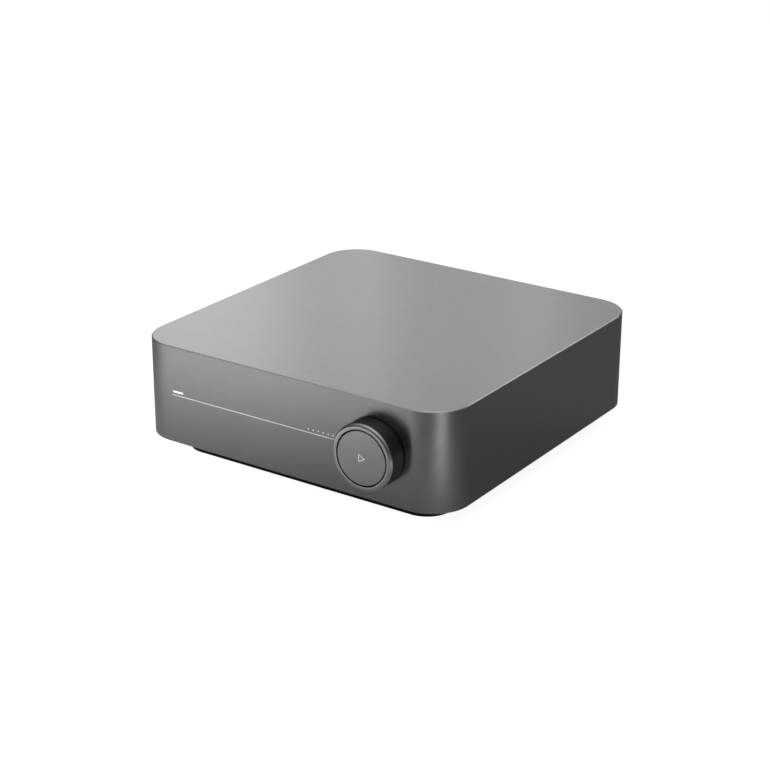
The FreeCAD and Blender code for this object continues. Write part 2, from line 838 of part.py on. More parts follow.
def window(body, name, middle, level, width, height):
    """A square-cornered window through the rear panel."""
    block(
        body, name, about(middle, f"{width} + 2 * liftGap"), ("panelInner", "panelFace"),
        about(level, f"{height} + 2 * liftGap"), cut=True,
    )


def makeRearPanel():
    body = newNode("rear_panel")
    addPad(
        body, "Slab", "XZ_Plane", "panelFace", "panelThickness", drawRounded,
        width="panelWidth - 2 * fitGap", height="panelHeight - 2 * fitGap",
        radius="panelCorner - fitGap", y="panelMiddle",
    )
    addPad(
        body, "Lip", "XZ_Plane", "rearInner", "panelLipThickness", drawRounded,
        width="panelWidth + 2 * panelLip", height="panelHeight + 2 * panelLip",
        radius="panelCorner", y="panelMiddle",
    )
    cutPocket(
        body, "LipInside", "XZ_Plane", "rearInner", "panelLipThickness", drawRounded,
        width="panelWidth - 2 * caseWall", height="panelHeight - caseWall",
        radius="panelCorner", y="panelMiddle",
    )
    for number, (signX, signZ) in enumerate(fourCorners, start=1):
        spot = (f"{signX}lugOffset", f"panelMiddle + {signZ}panelScrewZ")
        rod(body, f"ScrewBoss{number}", "y", "screwHead", spot, "lugFace", "panelInner")
    for number, (signX, signZ) in enumerate(fourCorners, start=1):
        spot = (f"{signX}lugOffset", f"panelMiddle + {signZ}panelScrewZ")
        rod(body, f"ScrewPass{number}", "y", "passRadius", spot, "lugFace", "panelFace", cut=True)
    window(body, "InletWindow", "inletX", "inletLevel", "inletWidth", "inletHeight")
    window(body, "OpticalWindow", "opticalX", "opticalLevel", "opticalSize", "opticalSize")
    window(body, "HdmiWindow", "hdmiX", "hdmiLevel", "hdmiWidth", "hdmiHeight")
    middle = "boardTop + ethernetHeight / 2"
    window(body, "EthernetWindow", "ethernetX", middle, "ethernetWidth", "ethernetHeight")
    for number in range(int(mm("postCount"))):
        spot = (f"postFirst + {number} * postPitch", "postLevel")
        hole = "collarRadius + liftGap"
        rod(body, f"PostHole{number + 1}", "y", hole, spot, "panelInner", "panelFace", cut=True)
    for number in range(int(mm("rcaCount"))):
        spot = (f"rcaFirst + {number} * rcaPitch", "rcaLevel")
        hole = "rcaCollar + liftGap"
        rod(body, f"RcaHole{number + 1}", "y", hole, spot, "panelInner", "panelFace", cut=True)


# Screws: each master points down from a head that stands on z = 0.

def makeScrew(label, length):
    body = newBody(label)
    addTurned(body, "Turned", "XZ_Plane", [
        ("0", f"-{length}"),
        ("screwShank", f"-{length}"),
        ("screwShank", "0"),
        ("screwHead", "0"),
        ("screwHead", "screwHeadRim"),
        ("screwHeadTop", "screwHeadHeight"),
        ("0", "screwHeadHeight"),
    ])
    for number, (long, short) in enumerate((("screwHead", "screwSlot"), ("screwSlot", "screwHead")), 1):
        deep = ("screwHeadHeight - screwSlot", "screwHeadHeight + liftGap")
        block(body, f"Cross{number}", about("0", long), about("0", short), deep, cut=True)
    return body


# Spots of the screws that hold the two boards to the standoffs.
boardSpots = [
    ("powerLeft + boardScrewInset", "powerFront + boardScrewInset"),
    ("powerRight - boardScrewInset", "powerFront + boardScrewInset"),
    ("powerLeft + boardScrewInset", "boardRear - powerScrewBack"),
    ("powerRight - boardScrewInset", "boardRear - inletDepth - boardScrewInset"),
    ("mainLeft + boardScrewInset", "mainFront + boardScrewInset"),
    ("mainRight - boardScrewInset", "mainFront + boardScrewInset"),
    ("mainRight - boardScrewInset", "boardRear - mainScrewBack"),
    ("mainLeft + boardScrewInset", "boardRear - mainScrewBack"),
]


def makeScrews():
    short = makeScrew("case_screw", "screwLength")
    spots = [(x, y, "boardTop") for x, y in boardSpots]
    for signX, signY in fourCorners:
        spots.append((f"{signX}chassisPostX", f"{signY}chassisPostY", "chassisTop"))
    for signX, signZ in fourCorners:
        level = f"frontBoardLevel + {signZ}frontPostZ"
        spots.append((f"{signX}frontPostX", "frontBoardBack", level, facingRear))
    group("board_screws", short, spots)
    group("panel_screws", short, [
        (f"{signX}lugOffset", "panelFace", f"panelMiddle + {signZ}panelScrewZ", facingRear)
        for signX, signZ in fourCorners
    ])
    group("base_screws", makeScrew("long_screw", "baseScrewLength"), [
        (f"{signX}cornerPostX", f"{signY}cornerPostY", "baseScrewSeat", facingDown)
        for signX, signY in fourCorners
    ])


# Front lights

def makeFrontLine():
    body = newNode("front_line")
    block(
        body, "Strip", ("lineLeft", "lineRight"),
        ("frontFace", "frontFace + lineDepth"), about("lineLevel", "lineHeight"),
    )


def makeLightGuides():
    status = newNode("status_light_guide")
    block(
        status, "Guide", about("pillMiddle", "pillLength + 2 * guideMargin"),
        ("pocketFace", "guideBack"), about("lightLevel", "guideHeight"),
    )
    addPad(
        status, "Pill", "XZ_Plane", "pocketFace", "lightSkin", drawRounded,
        width="pillLength", height="pillHeight", radius="pillEnd",
        x="pillMiddle", y="lightLevel",
    )
    level = newNode("level_light_guide")
    block(
        level, "Guide", about("dotMiddle", "dotSpan + 2 * guideMargin"),
        ("pocketFace", "guideBack"), about("lightLevel", "guideHeight"),
    )
    for number in range(int(mm("dotCount"))):
        spot = (f"dotFirst + {number} * dotPitch", "lightLevel")
        rod(level, f"Dot{number + 1}", "y", "dotRadius", spot, "frontFace", "pocketFace")
    led = newBody("indicator_led")
    block(led, "Chip", about("0", "ledWidth"), ("0", "ledThickness"), about("0", "ledWidth"))
    spots = [("pillMiddle", "ledFace", "lightLevel")]
    for number in range(int(mm("dotCount"))):
        spots.append((f"dotFirst + {number} * dotPitch", "ledFace", "lightLevel"))
    group("indicator_leds", led, spots)


def makeFrontBoard():
    body = newNode("front_board")
    block(
        body, "Board", about("0", "frontBoardWidth"), ("frontBoardFace", "frontBoardBack"),
        about("frontBoardLevel", "frontBoardHeight"),
    )
    for number, (signX, signZ) in enumerate(fourCorners, start=1):
        spot = (f"{signX}frontPostX", f"frontBoardLevel + {signZ}frontPostZ")
        rod(body, f"Hole{number}", "y", "passRadius", spot, "frontBoardFace", "frontBoardBack", cut=True)


# Volume knob and its bush, turned about the knob's axis

def onKnobAxis(body):
    place(body, "knobX", "0", "lineLevel")


def makeVolumeKnob():
    body = newNode("volume_knob")
    addTurned(body, "Ring", "XY_Plane", [
        ("knobBore", "knobFront"),
        ("knobRadius", "knobFront"),
        ("knobRadius", "knobBack"),
        ("knobBore", "knobBack"),
        ("knobBore", "webBack"),
        ("hubOuter", "webBack"),
        ("hubOuter", "hubBack"),
        ("linerOuter", "hubBack"),
        ("linerOuter", "webFront"),
        ("knobBore", "webFront"),
    ])
    breakEdges(body, "FrontRound", "knobRound", circleAt("knobRadius", "knobFront"), "Fillet")
    breakEdges(body, "MouthBreak", "knobLip", circleAt("knobBore", "knobFront"))
    onKnobAxis(body)


def makeKnobRunningParts():
    liner = newNode("knob_liner")
    addTube(liner, "Liner", "XY_Plane", "linerInner", "linerOuter", "webFront", "linerBack")
    onKnobAxis(liner)
    magnet = newNode("encoder_magnet")
    addTube(magnet, "Magnet", "XY_Plane", "hubOuter", "magnetOuter", "magnetFront", "hubBack")
    onKnobAxis(magnet)


def flatSided(body, name, radius, flat, start, end, cut=False):
    """A round bar along Y with a flat above and below, or a hole of that shape."""
    width = f"2 * sqrt({radius} * {radius} - {flat} * {flat})"
    bar = addPad if not cut else cutPocket
    bar(
        body, name, "XZ_Plane", end, f"({end}) - ({start})",
        drawFlatSided, radius=radius, flat=flat, width=width,
    )


def drawFlatSided(sketch, radius, flat, width):
    across = mm(width) / 2
    level = mm(flat)
    circle = Part.Circle(Vector(), Vector(0, 0, 1), mm(radius))
    tilt = Vector(across, level, 0).getAngle(Vector(1, 0, 0))
    sketch.addGeometry(Part.ArcOfCircle(circle, -tilt, tilt), False)
    sketch.addGeometry(Part.LineSegment(Vector(across, level, 0), Vector(-across, level, 0)), False)
    sketch.addGeometry(Part.ArcOfCircle(circle, math.pi - tilt, math.pi + tilt), False)
    sketch.addGeometry(Part.LineSegment(Vector(-across, -level, 0), Vector(across, -level, 0)), False)
    for number in range(4):
        sketch.addConstraint(Sketcher.Constraint("Coincident", number, 2, (number + 1) % 4, 1))
    sketch.addConstraint(Sketcher.Constraint("Coincident", 0, 3, -1, 1))
    sketch.addConstraint(Sketcher.Constraint("Coincident", 2, 3, -1, 1))
    sketch.addConstraint(Sketcher.Constraint("Horizontal", 1))
    sketch.addConstraint(Sketcher.Constraint("Horizontal", 3))
    held = sketch.addConstraint(Sketcher.Constraint("Radius", 0, mm(radius)))
    sketch.setExpression(f"Constraints[{held}]", expand(radius))
    for line, sign in ((1, ""), (3, "-")):
        text = f"{sign}({flat})"
        held = sketch.addConstraint(Sketcher.Constraint("DistanceY", -1, 1, line, 1, mm(text)))
        sketch.setExpression(f"Constraints[{held}]", expand(text))


def makeKnobBush():
    body = newNode("knob_bush")
    addTurned(body, "Bush", "XY_Plane", [
        ("0", "bushFront"),
        ("journalRadius", "bushFront"),
        ("journalRadius", "clipFront"),
        ("journalRadius - clipDepth", "clipFront"),
        ("journalRadius - clipDepth", "clipBack"),
        ("journalRadius", "clipBack"),
        ("journalRadius", "bushFlangeFace"),
        ("bushFlange", "bushFlangeFace"),
        ("bushFlange", "frontFace"),
        ("bushBarrel", "frontFace"),
        ("bushBarrel", "bushRear"),
        ("0", "bushRear"),
    ])
    flatSided(
        body, "StemBore", "(stemRadius + slipGap)", "(stemFlat + slipGap)",
        "bushFront - liftGap", "bushRear + liftGap", cut=True,
    )
    seat = "springRadius + springRoom"
    rod(body, "SpringSeat", "y", seat, ("0", "0"), "bushFront", "springFloor", cut=True)
    onKnobAxis(body)


def makeBushFittings():
    washer = newNode("thrust_washer")
    addTube(
        washer, "Washer", "XY_Plane", "linerInner", "bushFlange - fitGap",
        "washerFace", "bushFlangeFace",
    )
    onKnobAxis(washer)
    clip = newNode("retaining_clip")
    addTube(
        clip, "Clip", "XY_Plane", "journalRadius - clipDepth + slipGap",
        "journalRadius + clipRim", "clipFront", "clipBack",
    )
    block(
        clip, "Mouth", about("0", "journalRadius"), ("clipFront - liftGap", "clipBack + liftGap"),
        ("-journalRadius - 2 * clipRim", "0"), cut=True,
    )
    onKnobAxis(clip)
    nut = newNode("bush_nut")
    addTube(
        nut, "Nut", "XY_Plane", "bushBarrel + slipGap", "nutRadius", "sensorBoardBack", "nutBack",
    )
    for number, span in enumerate((
        ("nutRadius - nutSlotDepth", "nutRadius + liftGap"),
        ("-nutRadius - liftGap", "-nutRadius + nutSlotDepth"),
    ), start=1):
        block(
            nut, f"Slot{number}", span, ("sensorBoardBack - liftGap", "nutBack + liftGap"),
            about("0", "nutSlotWidth"), cut=True,
        )
    onKnobAxis(nut)
    board = newNode("encoder_board")
    addTube(
        board, "Board", "XY_Plane", "bushBarrel + liftGap", "sensorBoardOuter",
        "frontInner", "sensorBoardBack",
    )
    for number, sign in enumerate(("", "-"), start=1):
        block(
            board, f"Sensor{number}", about(f"{sign}sensorRing", "sensorSize"),
            ("sensorBoardBack", "sensorBoardBack + sensorThickness"), about("0", "2 * sensorSize"),
        )
    onKnobAxis(board)


# Press button in the middle of the knob

markPoints = [("markLeft", "markHeight / 2"), ("markTip", "0"), ("markLeft", "-markHeight / 2")]


def drawMark(sketch, inner):
    """The outline of a triangle that points right, or that triangle drawn in by its stroke."""
    if not inner:
        drawPolygon(sketch, markPoints)
        return
    slant = "sqrt(markLength * markLength + markHeight * markHeight / 4)"
    left = "markLeft + markStroke"
    tip = f"markTip - markStroke * {slant} / (markHeight / 2)"
    rise = f"(({tip}) - ({left})) * (markHeight / 2) / markLength"
    drawPolygon(sketch, [(left, rise), (tip, "0"), (left, f"-({rise})")])


def makePlayButton():
    body = newNode("play_button")
    addTurned(body, "Disc", "XY_Plane", [
        ("0", "knobFront"),
        ("discRadius", "knobFront"),
        ("discRadius", "discBack"),
        ("0", "discBack"),
    ])
    breakEdges(body, "FrontBreak", "discLip", circleAt("discRadius", "knobFront"))
    flatSided(body, "Stem", "stemRadius", "stemFlat", "discBack", "stemRear")
    addTurned(body, "ClipGroove", "XY_Plane", [
        ("stemRadius - stemClipGroove", "stemClipFront"),
        ("stemRadius + liftGap", "stemClipFront"),
        ("stemRadius + liftGap", "stemClipBack"),
        ("stemRadius - stemClipGroove", "stemClipBack"),
    ], cut=True)
    cutPocket(
        body, "MarkRecess", "XZ_Plane", "knobFront + markDepth", "markDepth", drawMark, inner=False,
    )
    addPad(body, "MarkIsland", "XZ_Plane", "knobFront + markDepth", "markDepth", drawMark, inner=True)
    onKnobAxis(body)
    mark = newNode("play_mark")
    addPad(mark, "Outer", "XZ_Plane", "knobFront + markDepth", "markDepth", drawMark, inner=False)
    cutPocket(mark, "Inner", "XZ_Plane", "knobFront + markDepth", "markDepth", drawMark, inner=True)
    onKnobAxis(mark)
    clip = newNode("stem_clip")
    addTube(
        clip, "Clip", "XY_Plane", "stemRadius - stemClipGroove + slipGap",
        "stemRadius + stemClipRim", "stemClipFront", "stemClipBack",
    )
    block(
        clip, "Mouth", about("0", "stemRadius"),
        ("stemClipFront - liftGap", "stemClipBack + liftGap"), ("-2 * stemRadius", "0"), cut=True,
    )
    onKnobAxis(clip)


def makeButtonSpring():
    """A coil between the disc's back and the seat in the bush."""
    start = mm("discBack") + mm("springWire") / 2 + mm("liftGap")
    end = mm("springFloor") - mm("springWire") / 2 - mm("liftGap")
    length = end - start
    helix = Part.makeLongHelix(length / mm("springTurns"), length, mm("springRadius"), 0)
    circle = Part.Circle(Vector(mm("springRadius"), 0, 0), Vector(0, 1, 0), mm("springWire") / 2)
    profile = Part.Wire([circle.toShape()])
    spring = doc.addObject("Part::Feature", "button_spring")
    spring.Shape = Part.Wire(helix.Edges).makePipeShell([profile], True, True)
    spring.Placement = Placement(Vector(mm("knobX"), start, mm("lineLevel")), alongY)
    nodes.append(spring)


def makeSwitch():
    body = newNode("tact_switch")
    block(
        body, "Case", about("0", "switchSize"), ("switchFace", "frontBoardFace"),
        about("0", "switchSize"),
    )
    hole = "plungerRadius + slipGap"
    floor = "plungerRear + pressTravel + liftGap"
    rod(body, "PlungerHole", "y", hole, ("0", "0"), "switchFace", floor, cut=True)
    onKnobAxis(body)
    plunger = newNode("switch_plunger")
    rod(plunger, "Plunger", "y", "plungerRadius", ("0", "0"), "stemRear", "plungerRear")
    onKnobAxis(plunger)


# Chassis plate and boards

def makeChassisPlate():
    body = newNode("chassis_plate")
    addPad(
        body, "Plate", "XY_Plane", "flangeTop", "chassisThickness", drawRounded,
        width="chassisWidth", height="chassisDepth", radius="chassisCorner",
    )
    for number, sign in enumerate(("-", ""), start=1):
        span = about(f"{sign}lugOffset", "lugWidth")
        deep = ("chassisDepth / 2 - lugTabLength", "lugFace")
        block(body, f"Tab{number}", span, deep, ("flangeTop", "chassisTop"))
        height = ("flangeTop", "panelMiddle + panelScrewZ + panelScrewInset")
        block(body, f"Lug{number}", span, ("lugFace - chassisThickness", "lugFace"), height)
    for number, (x, y) in enumerate(boardSpots, start=1):
        rod(body, f"Standoff{number}", "z", "standoffRadius", (x, y), "chassisTop", "boardBottom")
    for number, (x, y) in enumerate(boardSpots, start=1):
        rod(body, f"StandoffTap{number}", "z", "tapRadius", (x, y), "flangeTop", "boardBottom", cut=True)
    for number, (signX, signY) in enumerate(fourCorners, start=1):
        spot = (f"{signX}chassisPostX", f"{signY}chassisPostY")
        rod(body, f"PostPass{number}", "z", "passRadius", spot, "flangeTop", "chassisTop", cut=True)
    for number, (signX, signZ) in enumerate(fourCorners, start=1):
        spot = (f"{signX}lugOffset", f"panelMiddle + {signZ}panelScrewZ")
        start = "lugFace - chassisThickness"
        rod(body, f"LugTap{number}", "y", "tapRadius", spot, start, "lugFace", cut=True)


def makeBoard(label, left, right, front, spots):
    body = newNode(label)
    block(body, "Board", (left, right), (front, "boardRear"), ("boardBottom", "boardTop"))
    for number, (x, y) in enumerate(spots, start=1):
        rod(body, f"Hole{number}", "z", "passRadius", (x, y), "boardBottom", "boardTop", cut=True)


def makePowerSupply():
    makeBoard("power_board", "powerLeft", "powerRight", "powerFront", boardSpots[:4])
    fuse = newNode("mains_fuse")
    rod(
        fuse, "Tube", "y", "fuseRadius", ("powerLeft + fuseInset", "boardTop + fuseRadius"),
        "boardRear - fuseRearGap - fuseLength", "boardRear - fuseRearGap",
    )
    choke = newNode("filter_choke")
    block(
        choke, "Frame", about("chokeX", "chokeSize"), about("chokeY", "chokeSize"),
        ("boardTop", "boardTop + chokeHeight"),
    )
    rod(
        choke, "Window", "x", "chokeBore", ("chokeY", "boardTop + chokeHeight / 2"),
        "chokeX - chokeSize / 2", "chokeX + chokeSize / 2", cut=True,
    )
    bulk = newNode("bulk_capacitor")
    rod(
        bulk, "Can", "z", "capacitorRadius", ("powerMiddle", "capacitorY"),
        "boardTop", "boardTop + capacitorHeight",
    )
    breakEdges(bulk, "TopBreak", "capacitorEdge", edgeAt("Z", "boardTop + capacitorHeight"))
    small = newBody("output_capacitor")
    rod(small, "Can", "z", "smallCapacitorRadius", ("0", "0"), "0", "smallCapacitorHeight")
    pitch = "(2 * smallCapacitorRadius + smallCapacitorGap)"
    group("output_capacitors", small, [
        (f"powerMiddle + {number} * {pitch}", "smallCapacitorY", "boardTop") for number in (-1, 0, 1)
    ])
    core = newNode("transformer_core")
    block(
        core, "Core", about("powerMiddle", "coreWidth"), about("coreY", "coreDepth"),
        ("boardTop", "boardTop + coreHeight"),
    )
    block(
        core, "Opening", about("powerMiddle", "coreWidth - 2 * coreLimb"), about("coreY", "coreDepth"),
        ("boardTop + coreLimb", "boardTop + coreHeight - coreLimb"), cut=True,
    )
    coil = newNode("transformer_coil")
    block(
        coil, "Winding", about("powerMiddle", "coreWidth - 2 * coreLimb - 2 * liftGap"),
        about("coreY", "coreDepth + 2 * coreLimb"),
        ("boardTop + coreLimb + liftGap", "boardTop + coreHeight - coreLimb - liftGap"),
    )


def makeAmplifier():
    makeBoard("main_board", "mainLeft", "mainRight", "mainFront", boardSpots[4:])
    chip = newNode("amplifier_chip")
    block(
        chip, "Chip", about("chipX", "chipSize"), about("chipY", "chipSize"), ("boardTop", "chipTop"),
    )
    sink = newNode("heat_sink")
    block(
        sink, "Base", about("chipX", "sinkWidth"), about("chipY", "sinkDepth"), ("chipTop", "sinkTop"),
    )
    left = "chipX - sinkWidth / 2"
    pitch = "(sinkWidth - finThickness) / (finCount - 1)"
    for number in range(int(mm("finCount"))):
        start = f"{left} + {number} * {pitch}"
        block(
            sink, f"Fin{number + 1}", (start, f"{start} + finThickness"),
            about("chipY", "sinkDepth"), ("sinkTop", "finTop"),
        )
    for number, (signX, signY) in enumerate(fourCorners, start=1):
        spot = (
            f"chipX + {signX}(sinkWidth / 2 - sinkFootInset)",
            f"chipY + {signY}(sinkDepth / 2 - sinkFootInset)",
        )
        rod(sink, f"Foot{number}", "z", "sinkFootRadius", spot, "boardTop", "chipTop")
    coil = newBody("output_inductor")
    block(coil, "Case", about("0", "coilSize"), about("0", "coilSize"), ("0", "coilHeight"))
    group("output_inductors", coil, [
        (f"mainLeft + {x} * (coilSize + coilGap)", f"coilFirst + {y} * (coilSize + coilGap)", "boardTop")
        for x in (1, 2) for y in (0, 1)
    ])
    module = newNode("streaming_module")
    across = about("moduleX", "moduleWidth")
    deep = about("moduleY", "moduleDepth")
    block(module, "Board", across, deep, ("boardTop", "boardTop + moduleThickness"))
    shield = newNode("module_shield")
    low = "boardTop + moduleThickness"
    across = about("moduleX", "moduleWidth - 2 * shieldInset")
    deep = about("moduleY", "moduleDepth - 2 * shieldInset")
    block(shield, "Can", across, deep, (low, f"{low} + shieldHeight"))
    across = about("moduleX", "moduleWidth - 2 * shieldInset - 2 * shieldWall")
    deep = about("moduleY", "moduleDepth - 2 * shieldInset - 2 * shieldWall")
    block(shield, "Inside", across, deep, (low, f"{low} + shieldHeight - shieldWall"), cut=True)
    antenna = newBody("antenna")
    block(
        antenna, "Strip", about("0", "antennaLength"), ("-moduleThickness", "0"),
        about("0", "antennaHeight"),
    )
    group("antennas", antenna, [
        ("inletX", "panelInner", "postLevel"),
        ("ethernetX", "panelInner", "postLevel"),
    ])


def makeFlatCable():
    """A flat cable from the front board's back down to the front edge of the amplifier board."""
    body = newNode("flat_cable")
    high = "frontBoardLevel - frontBoardHeight / 2 + cableRise"
    out = "frontBoardBack + cableReach"
    addPad(
        body, "Ribbon", "YZ_Plane", "-cableWidth / 2", "cableWidth", drawPolygon,
        points=[
            ("frontBoardBack", high),
            (out, high),
            ("mainFront - cableFall", "boardTop"),
            ("mainFront + cableLanding", "boardTop"),
            ("mainFront + cableLanding", "boardTop + cableThickness"),
            ("mainFront - cableFall", "boardTop + cableThickness"),
            (out, f"{high} + cableThickness"),
            ("frontBoardBack", f"{high} + cableThickness"),
        ],
    )


# Rear sockets

def makeInlet():
    body = newNode("mains_inlet")
    block(
        body, "Case", about("inletX", "inletWidth"), ("proudFace - inletDepth", "proudFace"),
        ("boardTop", "boardTop + inletHeight"),
    )
    cutPocket(
        body, "Mouth", "XZ_Plane", "proudFace", "inletMouthDepth", drawRounded,
        width="inletMouthWidth", height="inletMouthHeight", radius="inletEnd",
        x="inletX", y="inletLevel",
    )
    for number, sign in enumerate(("-", ""), start=1):
        spot = (f"inletX + {sign}inletPinPitch / 2", "inletLevel")
        hole = "inletPinRadius + slipGap"
        rod(body, f"PinHole{number}", "y", hole, spot, "proudFace - inletDepth", "inletFloor", cut=True)
    pin = newBody("inlet_pin")
    back = "proudFace - inletDepth - 2 * inletPinRadius - liftGap"
    rod(pin, "Pin", "y", "inletPinRadius", ("0", "0"), back, "inletFloor + inletPinLength")
    block(
        pin, "Tail", about("0", "inletPinRadius"), (back, f"{back} + inletPinRadius"),
        ("boardTop - inletLevel", "0"),
    )
    group("inlet_pins", pin, [
        (f"inletX + {sign}inletPinPitch / 2", "0", "inletLevel") for sign in ("-", "")
    ])


def makeLoudspeakerPosts():
    body = newNode("terminal_block")
    block(
        body, "Block", ("blockLeft", "blockRight"), ("studBottom", "panelInner"),
        ("blockBottom", "blockTop"),
    )
    block(
        body, "Leg", ("blockLeft", "blockRight"), ("studBottom", "studBottom + blockLeg"),
        ("boardTop", "blockBottom"),
    )
    for number in range(int(mm("postCount"))):
        spot = (f"postFirst + {number} * postPitch", "postLevel")
        rod(body, f"Collar{number + 1}", "y", "collarRadius", spot, "panelInner", "collarFace")
    for number in range(int(mm("postCount"))):
        spot = (f"postFirst + {number} * postPitch", "postLevel")
        name = f"{number + 1}"
        hole = "studRadius + slipGap"
        rod(body, "StudHole" + name, "y", hole, spot, "studBack", "collarFace", cut=True)
        hole = "studTail + slipGap"
        rod(body, "TailHole" + name, "y", hole, spot, "studBottom", "studBack", cut=True)
    stud = newBody("post_stud")
    addTurned(stud, "Stud", "XY_Plane", [
        ("0", "studBottom"),
        ("studTail", "studBottom"),
        ("studTail", "studBack"),
        ("studRadius", "studBack"),
        ("studRadius", "studFace"),
        ("studBore", "studFace"),
        ("studBore", "studBoreFloor"),
        ("0", "studBoreFloor"),
    ])
    wire = "collarFace + 2 * wireHole - liftGap"
    rod(stud, "WireHole", "z", "wireHole", ("0", wire), "-studRadius", "studRadius", cut=True)
    group("post_studs", stud, [
        (f"postFirst + {number} * postPitch", "0", "postLevel") for number in range(int(mm("postCount")))
    ])
    for number in range(int(mm("postCount"))):
        x = f"postFirst + {number} * postPitch"
        washer = newNode(f"post_washer_{number + 1}")
        addTube(
            washer, "Washer", "XY_Plane", "studRadius + slipGap", "postWasherRadius",
            "postWasherBack", "postWasherFace",
        )
        place(washer, x, "0", "postLevel")
        cap = newNode(f"post_cap_{number + 1}")
        addTurned(cap, "Cap", "XY_Plane", [
            ("studRadius + slipGap", "capBack"),
            ("postWasherRadius", "capBack"),
            ("capRadius", "capBack + capEdge"),
            ("capRadius", "capFace - capEdge"),
            ("capRadius - capEdge", "capFace"),
            ("studRadius + slipGap", "capFace"),
        ])
        middle = ("capRadius + capRib / 2", "0")
        groove = rod(
            cap, "Groove", "y", "capRib", middle, "capBack + 2 * capEdge", "capFace - 2 * capEdge",
            cut=True,
        )
        doc.recompute()
        ribs = cap.newObject("PartDesign::PolarPattern", "Ribs")
        ribs.Originals = [groove]
        upright = [item for item in cap.Origin.OriginFeatures if item.Role == "Y_Axis"][0]
        ribs.Axis = (upright, [""])
        ribs.Angle = 360
        bind(ribs, Occurrences="capRibCount")
        cap.Tip = ribs
        place(cap, x, "0", "postLevel")


def makeRcaSockets():
    jack = newBody("rca_jack")
    block(
        jack, "Case", about("0", "rcaWidth"), ("panelInner - rcaDepth", "panelInner"),
        ("-rcaRise", "rcaHeight - rcaRise"),
    )
    rod(jack, "Collar", "y", "rcaCollar", ("0", "0"), "panelInner", "rcaCollarFace")
    rod(jack, "Core", "y", "rcaCore", ("0", "0"), "rcaCollarFace", "rcaCoreFace")
    rod(jack, "Bore", "y", "rcaBore", ("0", "0"), "rcaBoreFloor", "rcaCoreFace", cut=True)
    shell = newBody("rca_shell")
    addTube(
        shell, "Shell", "XY_Plane", "rcaShell - rcaShellWall", "rcaShell", "rcaCollarFace", "rcaFace",
    )
    for label, master in (("rca_jacks", jack), ("rca_shells", shell)):
        group(label, master, [
            (f"rcaFirst + {number} * rcaPitch", "0", "rcaLevel") for number in range(int(mm("rcaCount")))
        ])


def makeOpticalSocket():
    body = newNode("optical_jack")
    block(
        body, "Case", about("opticalX", "opticalSize"), ("socketBack", "proudFace"),
        ("boardTop", "boardTop + opticalSize"),
    )
    block(
        body, "Mouth", about("opticalX", "opticalMouth"), ("opticalFloor", "proudFace"),
        about("opticalLevel", "opticalMouth"), cut=True,
    )
    reach = "opticalMouth + 2 * shutterPinReach + 2 * liftGap"
    low, high = about("opticalX", reach)
    rod(
        body, "PivotHole", "x", "shutterPin + slipGap", ("shutterY", "shutterZ"), low, high, cut=True,
    )
    shutter = newNode("optical_shutter")
    block(
        shutter, "Flap", about("opticalX", "opticalMouth - 2 * liftGap"),
        about("shutterY", "shutterThickness"),
        ("opticalLevel - opticalMouth / 2 + liftGap", "shutterZ"),
    )
    low, high = about("opticalX", "opticalMouth + 2 * shutterPinReach")
    rod(shutter, "Pivot", "x", "shutterPin", ("shutterY", "shutterZ"), low, high)


def makeHdmiSocket():
    body = newNode("hdmi_socket")
    block(
        body, "Shell", about("hdmiX", "hdmiWidth"), ("socketBack", "proudFace"),
        ("boardTop", "boardTop + hdmiHeight"),
    )
    right = "hdmiX + hdmiWidth / 2 - hdmiWall"
    left = "hdmiX - hdmiWidth / 2 + hdmiWall"
    low = "boardTop + hdmiWall"
    cutPocket(
        body, "Mouth", "XZ_Plane", "proudFace", "socketDepth", drawPolygon,
        points=[
            (f"{left} + hdmiBevel", low),
            (f"{right} - hdmiBevel", low),
            (right, f"{low} + hdmiBevel"),
            (right, "boardTop + hdmiHeight - hdmiWall"),
            (left, "boardTop + hdmiHeight - hdmiWall"),
            (left, f"{low} + hdmiBevel"),
        ],
    )
    block(
        body, "Tongue", about("hdmiX", "hdmiTongueWidth"),
        ("socketFloor", "proudFace - hdmiTongueSetback"), about("hdmiLevel", "hdmiTongue"),
    )


def makeEthernetSocket():
    body = newNode("ethernet_socket")
    block(
        body, "Case", about("ethernetX", "ethernetWidth"),
        ("socketBack", "proudFace"), ("boardTop", "boardTop + ethernetHeight"),
    )
    block(
        body, "Mouth", about("ethernetX", "ethernetMouthWidth"), ("socketFloor", "proudFace"),
        about("ethernetLevel", "ethernetMouthHeight"), cut=True,
    )
    block(
        body, "Latch", about("ethernetX", "ethernetLatchWidth"),
        ("socketFloor", "proudFace"),
        ("ethernetLatchFoot", "ethernetLatchFoot + ethernetLatchHeight"), cut=True,
    )


makeEnclosure()
makeBaseCover()
makeFootRing()
makeRearPanel()
makeScrews()
makeFrontLine()
makeLightGuides()
makeFrontBoard()
makeVolumeKnob()
makeKnobRunningParts()
makeKnobBush()
makeBushFittings()
makePlayButton()
makeButtonSpring()
makeSwitch()
makeChassisPlate()
makePowerSupply()
makeAmplifier()
makeFlatCable()
makeInlet()
makeLoudspeakerPosts()
makeRcaSockets()
makeOpticalSocket()
makeHdmiSocket()
makeEthernetSocket()
doc.recompute()

# Every object and every sub-part is checked before anything is written.
for item in doc.Objects:
    if {"Invalid", "Error"} & set(item.State):
        raise RuntimeError(f"{item.Label} did not rebuild: {item.State}")
for node in nodes:
    if node.Shape.isNull() or not node.Shape.isValid() or not node.Shape.Solids:
        raise RuntimeError(f"{node.Label} has no valid shape")
for node in nodes:
    node.Shape.exportStep(f"parts/{node.Label}.step")
print(len(nodes), "nodes written")
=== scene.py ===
import json
import math

import bpy
from mathutils import Matrix, Vector


